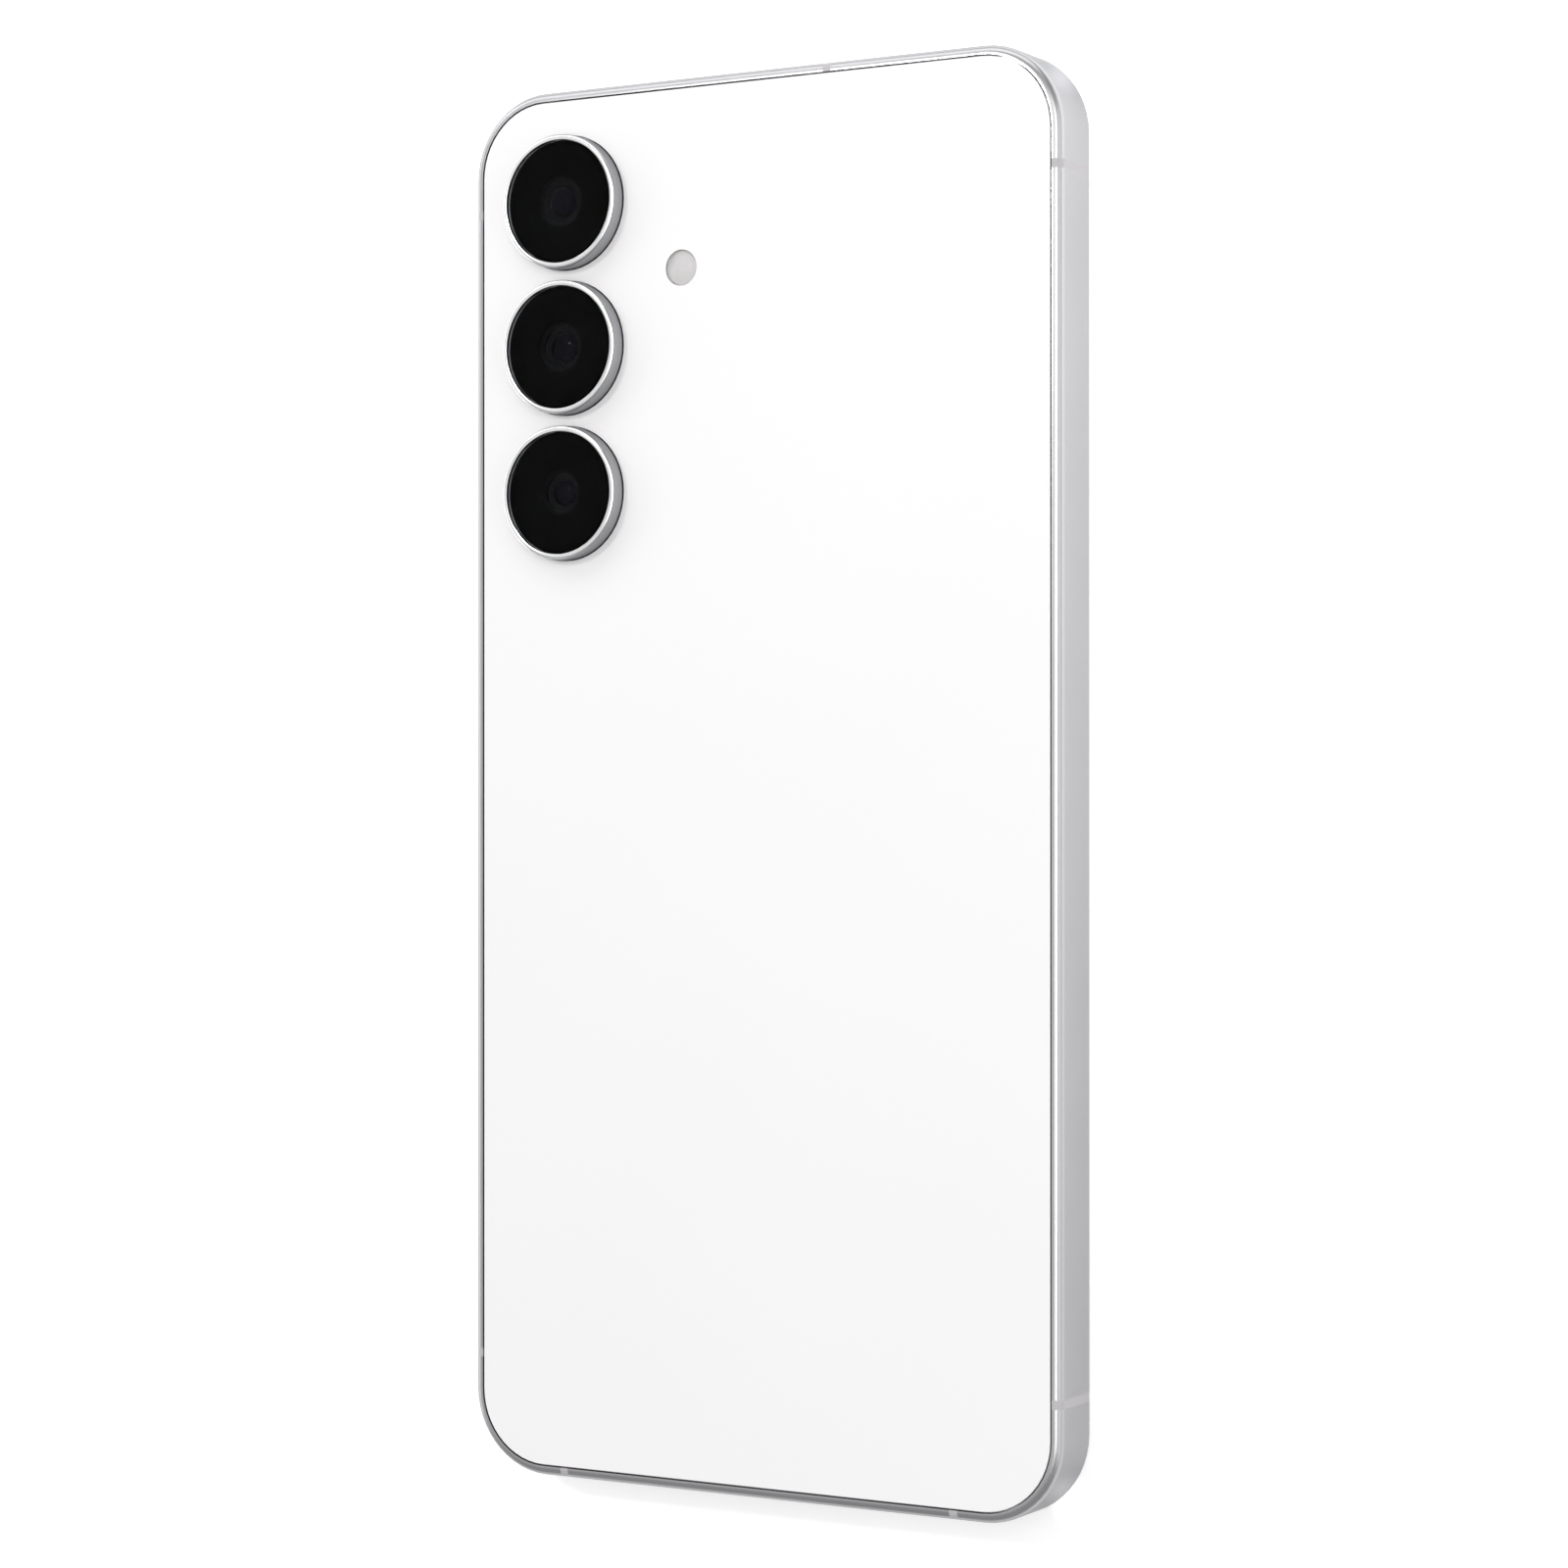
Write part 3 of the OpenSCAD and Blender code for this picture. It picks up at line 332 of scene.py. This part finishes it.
def smoothing_group(angle):
    """Welds a tessellated solid and shades it smooth, except over edges sharper than the angle."""
    group = bpy.data.node_groups.new("smooth_by_angle", "GeometryNodeTree")
    group.interface.new_socket("Geometry", in_out="INPUT", socket_type="NodeSocketGeometry")
    group.interface.new_socket("Geometry", in_out="OUTPUT", socket_type="NodeSocketGeometry")
    new = group.nodes.new
    start, end = new("NodeGroupInput"), new("NodeGroupOutput")
    drop = new("GeometryNodeRemoveAttribute")
    drop.inputs["Name"].default_value = "custom_normal"
    weld = new("GeometryNodeMergeByDistance")
    weld.inputs["Distance"].default_value = WELD_GAP
    edge_angle = new("GeometryNodeInputMeshEdgeAngle")
    below = new("FunctionNodeCompare")
    below.data_type = "FLOAT"
    below.operation = "LESS_THAN"
    below.inputs["B"].default_value = angle
    edges = new("GeometryNodeSetShadeSmooth")
    edges.domain = "EDGE"
    faces = new("GeometryNodeSetShadeSmooth")
    faces.domain = "FACE"
    link = group.links.new
    link(start.outputs[0], drop.inputs["Geometry"])
    link(drop.outputs["Geometry"], weld.inputs["Geometry"])
    link(weld.outputs["Geometry"], edges.inputs[0])
    link(edge_angle.outputs["Unsigned Angle"], below.inputs["A"])
    link(below.outputs["Result"], edges.inputs["Shade Smooth"])
    link(edges.outputs[0], faces.inputs[0])
    link(faces.outputs[0], end.inputs[0])
    return group


SMOOTHING = smoothing_group(SMOOTH_ANGLE)


def weigh_normals(thing):
    """Keeps flat faces flat where they meet a rounding."""
    normals = thing.modifiers.new("normals", "WEIGHTED_NORMAL")
    normals.mode = "FACE_AREA"
    normals.weight = 50
    normals.keep_sharp = True


def soften_edges(node, width, segments):
    """A small rounding over a solid's sharp edges."""
    weld = node.modifiers.new("weld", "WELD")
    weld.merge_threshold = WELD_GAP
    bevel = node.modifiers.new("edges", "BEVEL")
    bevel.width = width
    bevel.segments = segments
    bevel.limit_method = "ANGLE"
    bevel.angle_limit = BEVEL_ANGLE
    bevel.use_clamp_overlap = True


def dress_cad_nodes():
    """Every CAD node takes the finish of its slot in the record."""
    for name, width, segments in (("side_key", KEY_EDGE, 3), ("volume_rocker", KEY_EDGE, 3),
                                  ("usb_tongue", TONGUE_EDGE, 2)):
        soften_edges(NODES[name], width, segments)
    for part in frame["record"]["subparts"]:
        node = NODES[part["node"]]
        node.data.materials.clear()
        node.data.materials.append(MATERIALS[part["material_slot"]])
        node.modifiers.new("smooth", "NODES").node_group = SMOOTHING
        weigh_normals(node)


# ---------------------------------------------------------------- mesh helpers

def add_piece(name, bm, material, body="housing", replaces=(), at=(0.0, 0.0, 0.0), angle=35):
    """Turns a bmesh into a smooth-shaded piece that rides on a body."""
    bmesh.ops.recalc_face_normals(bm, faces=bm.faces)
    mesh = bpy.data.meshes.new(name)
    bm.to_mesh(mesh)
    bm.free()
    mesh.shade_smooth()
    mesh.set_sharp_from_angle(angle=math.radians(angle))
    mesh.materials.append(MATERIALS[material])
    piece = bpy.data.objects.new(name, mesh)
    piece.location = at
    bpy.context.scene.collection.objects.link(piece)
    weigh_normals(piece)
    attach(piece, body)
    if replaces:
        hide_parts(*replaces)
    return piece


def lathe(bm, profile, segments=96):
    """Revolves a closed outline of (radius, height) points about Z; radius 0 is a single point."""
    axis = {k: bm.verts.new((0.0, 0.0, z)) for k, (r, z) in enumerate(profile) if r <= 0}
    rings = []
    for i in range(segments):
        turn = 2 * math.pi * i / segments
        across, along = math.cos(turn), math.sin(turn)
        rings.append([axis[k] if k in axis else bm.verts.new((r * across, r * along, z))
                      for k, (r, z) in enumerate(profile)])
    for here, there in zip(rings, rings[1:] + rings[:1]):
        for k in range(len(profile)):
            after = (k + 1) % len(profile)
            corners = list(dict.fromkeys([here[k], there[k], there[after], here[after]]))
            if len(corners) >= 3:
                bm.faces.new(corners)


def on_circle(centre_r, centre_z, radius, degrees):
    """One point of a circle in (radius, height)."""
    turn = math.radians(degrees)
    return (centre_r + radius * math.cos(turn), centre_z + radius * math.sin(turn))


def arc(centre_r, centre_z, radius, start, end, steps):
    """Points of an arc in (radius, height), from start to end in degrees."""
    return [on_circle(centre_r, centre_z, radius, start + (end - start) * i / steps)
            for i in range(steps + 1)]


def dome(base_r, base_z, rise, steps=12):
    """Points from the rim of a shallow dome up to its top on the axis."""
    ball = (base_r ** 2 + rise ** 2) / (2 * rise)
    rim = math.asin(base_r / ball)
    turns = [rim * (1 - i / steps) for i in range(steps)]
    points = [(ball * math.sin(t), base_z + rise - ball + ball * math.cos(t)) for t in turns]
    return points + [(0.0, base_z + rise)]


def box_into(bm, low, high):
    """Adds a block between two opposite corners."""
    corners = [bm.verts.new((x, y, z)) for x in (low[0], high[0]) for y in (low[1], high[1])
               for z in (low[2], high[2])]
    for face in ((0, 1, 3, 2), (4, 6, 7, 5), (0, 4, 5, 1), (2, 3, 7, 6), (0, 2, 6, 4),
                 (1, 5, 7, 3)):
        bm.faces.new([corners[i] for i in face])


def tube(bm, points, radius, sides=6):
    """A thin closed tube through points; its rings stay square to their neighbours' line."""
    rings = []
    for i, point in enumerate(points):
        along = (points[min(i + 1, len(points) - 1)] - points[max(i - 1, 0)]).normalized()
        across = along.cross(Vector((0.0, 1.0, 0.0))).normalized()
        up = along.cross(across)
        rings.append([bm.verts.new(point + radius * (math.cos(a) * across + math.sin(a) * up))
                      for a in [2 * math.pi * k / sides for k in range(sides)]])
    for here, there in zip(rings, rings[1:]):
        for k in range(sides):
            bm.faces.new([here[k], here[(k + 1) % sides], there[(k + 1) % sides], there[k]])
    bm.faces.new(rings[0][::-1])
    bm.faces.new(rings[-1])


def rounded_outline(half_w, half_h, radius, steps=16):
    """Points round a rectangle with rounded corners, anticlockwise."""
    points = []
    for quarter, (sx, sy) in enumerate(((1, 1), (-1, 1), (-1, -1), (1, -1))):
        for i in range(steps + 1):
            turn = math.radians(90 * quarter + 90 * i / steps)
            points.append((sx * (half_w - radius) + radius * math.cos(turn),
                           sy * (half_h - radius) + radius * math.sin(turn)))
    return points


def band_between(bm, outer, inner, low, high):
    """A flat band between two outlines with equally many points, low to high."""
    loops = [[bm.verts.new((x, y, z)) for x, y in outline]
             for outline, z in ((outer, low), (outer, high), (inner, high), (inner, low))]
    for here, there in zip(loops, loops[1:] + loops[:1]):
        for k in range(len(outer)):
            after = (k + 1) % len(outer)
            bm.faces.new([here[k], here[after], there[after], there[k]])


# ---------------------------------------------------------------- rear cameras and flash

def camera_ring(i):
    """A satin ring round each window; a fine groove parts its wall from a bright cut lip. The
    wall's darker tone is painted shade.
    """
    low, high = RING_BOX[0].z, RING_BOX[1].z
    seat = WINDOW_BOX[0].z - 0.002 * MM
    flange_r = (RING_BOX[1].x - RING_BOX[0].x) / 2
    inner = WINDOW_R + 0.04 * MM
    bevel, groove = 0.05 * MM, 0.04 * MM
    wall_end, groove_at, lip_start = 38, 42, 48
    centre_r, centre_z = RING_R - RING_ROUND, high - RING_ROUND
    bottom = on_circle(centre_r, centre_z, RING_ROUND - groove, groove_at)
    parting = (inner, bottom[1])
    at = (CAMERA_X, CAMERA_YS[i], 0.0)
    bm = bmesh.new()
    lathe(bm, [(flange_r, low), (flange_r, low + RING_FLANGE_T), (RING_R, low + RING_FLANGE_T)]
          + arc(centre_r, centre_z, RING_ROUND, 0, wall_end, 5)
          + [bottom, parting, (inner, seat), (RING_BORE_R, seat), (RING_BORE_R, low)],
          RING_SEGMENTS)
    add_piece(f"camera_ring_{CAMERA_NAMES[i]}", bm, "ring_metal",
              replaces=("camera_rings",) if i == 0 else (), at=at)
    bm = bmesh.new()
    lathe(bm, [parting, bottom] + arc(centre_r, centre_z, RING_ROUND, lip_start, 90, 6)
          + [(inner + bevel, high), (inner + bevel * 0.3, high - bevel * 0.3),
             (inner, high - bevel)], RING_SEGMENTS)
    add_piece(f"ring_lip_{CAMERA_NAMES[i]}", bm, "ring_lip", at=at)


def camera_window(i):
    """Cover glass with a rounded rim, over a black print that leaves a round aperture."""
    low, high = WINDOW_BOX[0].z, WINDOW_BOX[1].z
    print_t, print_lift, print_inset = 0.03 * MM, 0.002 * MM, 0.02 * MM
    rim, chamfer, gap = 0.16 * MM, 0.03 * MM, 0.01 * MM
    at = (CAMERA_X, CAMERA_YS[i], 0.0)
    bottom = low + print_t + gap
    bm = bmesh.new()
    lathe(bm, [(0.0, bottom), (WINDOW_R - chamfer, bottom), (WINDOW_R, bottom + chamfer)]
          + arc(WINDOW_R - rim, high - rim, rim, 0, 90, 6) + [(0.0, high)], WINDOW_SEGMENTS)
    add_piece(f"window_glass_{CAMERA_NAMES[i]}", bm, "window_glass",
              replaces=("camera_windows",) if i == 0 else (), at=at)
    bm = bmesh.new()
    print_r = WINDOW_R - print_inset
    lathe(bm, [(APERTURE_R[i], low + print_lift), (print_r, low + print_lift),
               (print_r, low + print_t), (APERTURE_R[i], low + print_t)], WINDOW_SEGMENTS)
    add_piece(f"window_print_{CAMERA_NAMES[i]}", bm, "mask_black", at=at)


def camera_lens(i):
    """A stepped baffle and a dark, domed front element inside the barrel."""
    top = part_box(LENS_NODES[i])[1].z
    r = RECESS_R[i]
    floor_z = top - RECESS_DEPTH[i]
    at = (CAMERA_X, CAMERA_YS[i], 0.0)
    steps, drop, height = 4, 0.055 * MM, 0.3 * MM
    width = 0.3 * r / steps
    element_r, element_rise = 0.68 * r, 0.24 * MM
    bm = bmesh.new()
    profile = [(r, floor_z), (r, floor_z + height)]
    for k in range(steps):
        z = floor_z + height - drop * (k + 1)
        profile += [(r - width * (k + 0.25), z), (r - width * (k + 1), z)]
    profile += [(0.7 * r, floor_z)]
    lathe(bm, profile, 64)
    add_piece(f"{CAMERA_NAMES[i]}_baffle", bm, "camera_black", LENS_BODIES[i],
              at=at)
    bm = bmesh.new()
    base = floor_z + 0.01 * MM
    lathe(bm, [(0.0, base), (element_r, base)]
          + dome(element_r, base + 0.06 * MM, element_rise), 64)
    add_piece(f"{CAMERA_NAMES[i]}_front_element", bm, "lens_glass", LENS_BODIES[i],
              at=at)


def flash_unit():
    """A pearly dome with fine rings, under a thin clear cover."""
    centre = centre_of(FLASH_BOX)
    at = (centre.x, centre.y, 0.0)
    low, top = FLASH_BOX[0].z, FLASH_BOX[1].z
    r = 2.035 * MM
    flange_r = (FLASH_BOX[1].x - FLASH_BOX[0].x) / 2
    cover_t, cover_lip, cover_gap = 0.06 * MM, 0.03 * MM, 0.01 * MM
    flange_t, dome_drop, dome_rise, ridge = 0.35 * MM, 0.5 * MM, 0.4 * MM, 0.012 * MM
    rings = [(dome_r, dome_z - (ridge if k % 2 else 0.0))
             for k, (dome_r, dome_z) in enumerate(dome(r - 0.06 * MM, top - dome_drop, dome_rise,
                                                       14))]
    bm = bmesh.new()
    lathe(bm, [(0.0, low), (flange_r, low), (flange_r, low + flange_t), (r, low + flange_t),
               (r, top - cover_t), (r - 0.05 * MM, top - cover_t)] + rings, 96)
    add_piece("flash_dome", bm, "flash_plastic", replaces=("flash_lens",), at=at)
    bm = bmesh.new()
    cover_r = r - cover_gap
    lathe(bm, [(0.0, top - cover_t), (cover_r, top - cover_t), (cover_r, top - cover_lip),
               (r - 0.04 * MM, top), (0.0, top)], 96)
    add_piece("flash_cover", bm, "flash_cover", at=at)


# ---------------------------------------------------------------- front

def front_print():
    """The black border printed under the front glass, and the front camera's round surround."""
    glass, panel = FRONT_GLASS_BOX[1], PANEL_BOX[1]
    margin, overlap = 0.35 * MM, 0.25 * MM
    hole_r, surround_r = 1.0 * MM, 2.0 * MM
    z0, z1 = glass.z + 0.003 * MM, glass.z + 0.012 * MM
    bm = bmesh.new()
    band_between(bm,
                 rounded_outline(glass.x - margin, glass.y - margin, CORNER_R - 1.35 * MM),
                 rounded_outline(panel.x - overlap, panel.y - overlap, CORNER_R - 2.4 * MM),
                 z0, z1)
    add_piece("front_border", bm, "mask_black")
    bm = bmesh.new()
    lathe(bm, [(hole_r, z0), (surround_r, z0), (surround_r, z1), (hole_r, z1)], 64)
    add_piece("front_camera_surround", bm, "mask_black",
              at=(0.0, centre_of(FRONT_CAMERA_BOX).y, 0.0))


def front_camera_lens():
    """The small lens behind the display's hole; it looks out of the front, down in this frame."""
    z = FRONT_CAMERA_BOX[0].z
    lens_r, rise = 0.92 * MM, 0.12 * MM
    bm = bmesh.new()
    lathe(bm, [(0.0, 0.0), (lens_r, 0.0)] + dome(lens_r, 0.02 * MM, rise), 48)
    for vert in bm.verts:
        vert.co.z = z - vert.co.z
    add_piece("front_camera_lens", bm, "lens_glass",
              at=(0.0, centre_of(FRONT_CAMERA_BOX).y, 0.0))


# ---------------------------------------------------------------- bottom end

def socket_contacts():
    """Twelve gilt contacts on each face of the socket's tongue, four of them longer."""
    count, pitch, width = 12, 0.5 * MM, 0.26 * MM
    half_t, proud, sunk = 0.35 * MM, 0.03 * MM, 0.01 * MM
    long_ones, long_l, short_l, setback = (0, 3, 8, 11), 4.6 * MM, 4.2 * MM, 0.4 * MM
    z = centre_of(SHELL_BOX).z
    start = TONGUE_BOX[0].y + 0.25 * MM
    bm = bmesh.new()
    for k in range(count):
        x = (k - (count - 1) / 2) * pitch
        y0, length = (start, long_l) if k in long_ones else (start + setback, short_l)
        for low, high in ((z + half_t - sunk, z + half_t + proud),
                          (z - half_t - proud, z - half_t + sunk)):
            box_into(bm, (x - width / 2, y0, low), (x + width / 2, y0 + length, high))
    piece = add_piece("socket_contacts", bm, "contact_gold")
    bevel = piece.modifiers.new("edges", "BEVEL")
    bevel.width = 0.012 * MM
    bevel.segments = 2


def speaker_grille():
    """A woven wire grille in the loudspeaker slot."""
    wire_r, pitch = 0.045 * MM, 0.25 * MM
    slot_l, slot_h = 12.0 * MM, 1.2 * MM
    short_sway, long_sway, long_rows = 0.04 * MM, 0.05 * MM, (-2, -1, 0, 1, 2)
    centre = centre_of(MESH_BOX)
    y = MESH_BOX[0].y - 0.13 * MM
    straight = (slot_l - slot_h) / 2
    bm = bmesh.new()
    count = int(slot_l / pitch) - 1
    for k in range(count):
        x = (k - (count - 1) / 2) * pitch
        over = max(0.0, abs(x) - straight)
        reach = math.sqrt(max(0.0, (slot_h / 2) ** 2 - over ** 2))
        sway = short_sway if k % 2 else -short_sway
        rows = max(2, int(2 * reach / pitch) * 2)
        points = [Vector((centre.x + x, y + sway * math.cos(math.pi * j / 2),
                          centre.z - reach + 2 * reach * j / rows))
                  for j in range(rows + 1)]
        tube(bm, points, wire_r)
    for row in long_rows:
        z = row * pitch
        reach = straight + math.sqrt((slot_h / 2) ** 2 - z ** 2)
        steps = int(2 * reach / (pitch / 2))
        points = [Vector((centre.x - reach + 2 * reach * j / steps,
                          y + long_sway * math.cos(math.pi * (j / 2 + row)), centre.z + z))
                  for j in range(steps + 1)]
        tube(bm, points, wire_r)
    add_piece("speaker_grille", bm, "mesh_wire")


# ---------------------------------------------------------------- camera, floor and lights

YAW = math.radians(30.125)
DISTANCE = 425.4 * MM
SIDE_SHIFT = -3.307 * MM
SENSOR_W, FOCAL_LENGTH = 36.0, 86.58
FLOOR_COLOUR = (0.66, 0.66, 0.66)
FLOOR_HALF, FLOOR_DROP = 3.0, 0.08 * MM
FLOOR_GLOW = (0.4, 0.95)
GLOW_REACH = 0.12
CORNER_GLOWS = [((0.0362, 0.0788), 0.65), ((0.0362, -0.0788), 0.5)]
CORNER_GLOW_R = 3.5 * MM
SKY = 0.41

LIGHTS = [
    ("overhead_light", (-0.25, 0.05, 0.62), (0.7, 0.7), 0.3, (-0.25, 0.05, 0.0)),
    ("edge_light", (0.3, 0.05, 0.62), (0.4, 0.6), 2.1, (0.3, 0.05, 0.0)),
    ("right_light", (0.9, 0.0, 0.4), (1.2, 0.5), 0.83, (0.0, 0.0, 0.0)),
    ("top_light", (-0.3, 0.85, 0.45), (1.4, 0.5), 1.3, (0.0, 0.0, 0.0)),
    ("left_light", (-0.95, 0.15, 0.28), (1.2, 0.45), 1.15, (0.0, 0.0, 0.0)),
    ("small_light", (-0.24, 0.22, 0.6), (0.04, 0.04), 115.0, (CAMERA_X, CAMERA_YS[1], REAR_Z)),
]


def place_camera():
    """Looks at the rear from its right-hand side, level with the phone's middle."""
    data = bpy.data.cameras.new("view")
    data.sensor_width = SENSOR_W
    data.lens = FOCAL_LENGTH
    data.clip_start = 0.01
    data.clip_end = 10.0
    camera = bpy.data.objects.new("view", data)
    bpy.context.scene.collection.objects.link(camera)
    c, s = math.cos(YAW), math.sin(YAW)
    camera.matrix_world = Matrix((
        (c, 0.0, s, DISTANCE * s - SIDE_SHIFT * c),
        (0.0, 1.0, 0.0, 0.0),
        (-s, 0.0, c, REAR_Z + DISTANCE * c + SIDE_SHIFT * s),
        (0.0, 0.0, 0.0, 1.0)))
    bpy.context.scene.camera = camera


def softbox(name, place, size, radiance, target):
    """A plain rectangular light; its power follows from how bright its face looks."""
    data = bpy.data.lights.new(name, "AREA")
    data.shape = "RECTANGLE"
    data.size, data.size_y = size
    data.energy = 4 * radiance * size[0] * size[1]
    lamp = bpy.data.objects.new(name, data)
    bpy.context.scene.collection.objects.link(lamp)
    lamp.location = place
    lamp.rotation_euler = (Vector(target) - Vector(place)).to_track_quat("-Z", "Y").to_euler()


def pale_floor():
    """A light table: a matt top that glows more towards +Y and beside two corners of the phone.

    It is clear from below, so that the phone's front can be looked at.
    """
    mat = new_material("pale_floor", FLOOR_COLOUR, 0.0, 0.9, Specular_IOR_Level=0.0)
    tree = mat.node_tree
    shader = tree.nodes["Principled BSDF"]
    shader.inputs["Emission Color"].default_value = WHITE
    coord = tree.nodes.new("ShaderNodeTexCoord")
    axes = tree.nodes.new("ShaderNodeSeparateXYZ")
    tree.links.new(coord.outputs["Object"], axes.inputs["Vector"])
    total = map_range(tree, axes.outputs["Y"], (-GLOW_REACH, GLOW_REACH), FLOOR_GLOW, "SMOOTHSTEP")
    for (x, y), strength in CORNER_GLOWS:
        away = tree.nodes.new("ShaderNodeVectorMath")
        away.operation = "DISTANCE"
        away.inputs[1].default_value = (x, y, 0.0)
        tree.links.new(coord.outputs["Object"], away.inputs[0])
        fade = map_range(tree, away.outputs["Value"], (0.0, CORNER_GLOW_R), (strength, 0.0),
                         "SMOOTHSTEP")
        plus = tree.nodes.new("ShaderNodeMath")
        tree.links.new(total, plus.inputs[0])
        tree.links.new(fade, plus.inputs[1])
        total = plus.outputs["Value"]
    tree.links.new(total, shader.inputs["Emission Strength"])
    side = tree.nodes.new("ShaderNodeNewGeometry")
    clear = tree.nodes.new("ShaderNodeBsdfTransparent")
    mix = tree.nodes.new("ShaderNodeMixShader")
    tree.links.new(side.outputs["Backfacing"], mix.inputs[0])
    tree.links.new(shader.outputs["BSDF"], mix.inputs[1])
    tree.links.new(clear.outputs["BSDF"], mix.inputs[2])
    tree.links.new(mix.outputs["Shader"], tree.nodes["Material Output"].inputs["Surface"])
    bm = bmesh.new()
    bmesh.ops.create_grid(bm, x_segments=8, y_segments=8, size=FLOOR_HALF)
    mesh = bpy.data.meshes.new("floor")
    bm.to_mesh(mesh)
    bm.free()
    mesh.materials.append(mat)
    floor = bpy.data.objects.new("floor", mesh)
    bpy.context.scene.collection.objects.link(floor)
    floor.location = (0.0, 0.0, CAD_BOX[0].z - FLOOR_DROP)


def studio_world(strength):
    world = bpy.data.worlds.new("studio")
    world.use_nodes = True
    background = world.node_tree.nodes["Background"]
    background.inputs["Color"].default_value = WHITE
    background.inputs["Strength"].default_value = strength
    bpy.context.scene.world = world


def studio():
    bpy.context.scene.view_settings.view_transform = "Standard"
    pale_floor()
    studio_world(SKY)
    for light in LIGHTS:
        softbox(*light)


place_camera()
dress_cad_nodes()
for index in range(3):
    camera_ring(index)
    camera_window(index)
    camera_lens(index)
flash_unit()
front_print()
front_camera_lens()
socket_contacts()
speaker_grille()
studio()
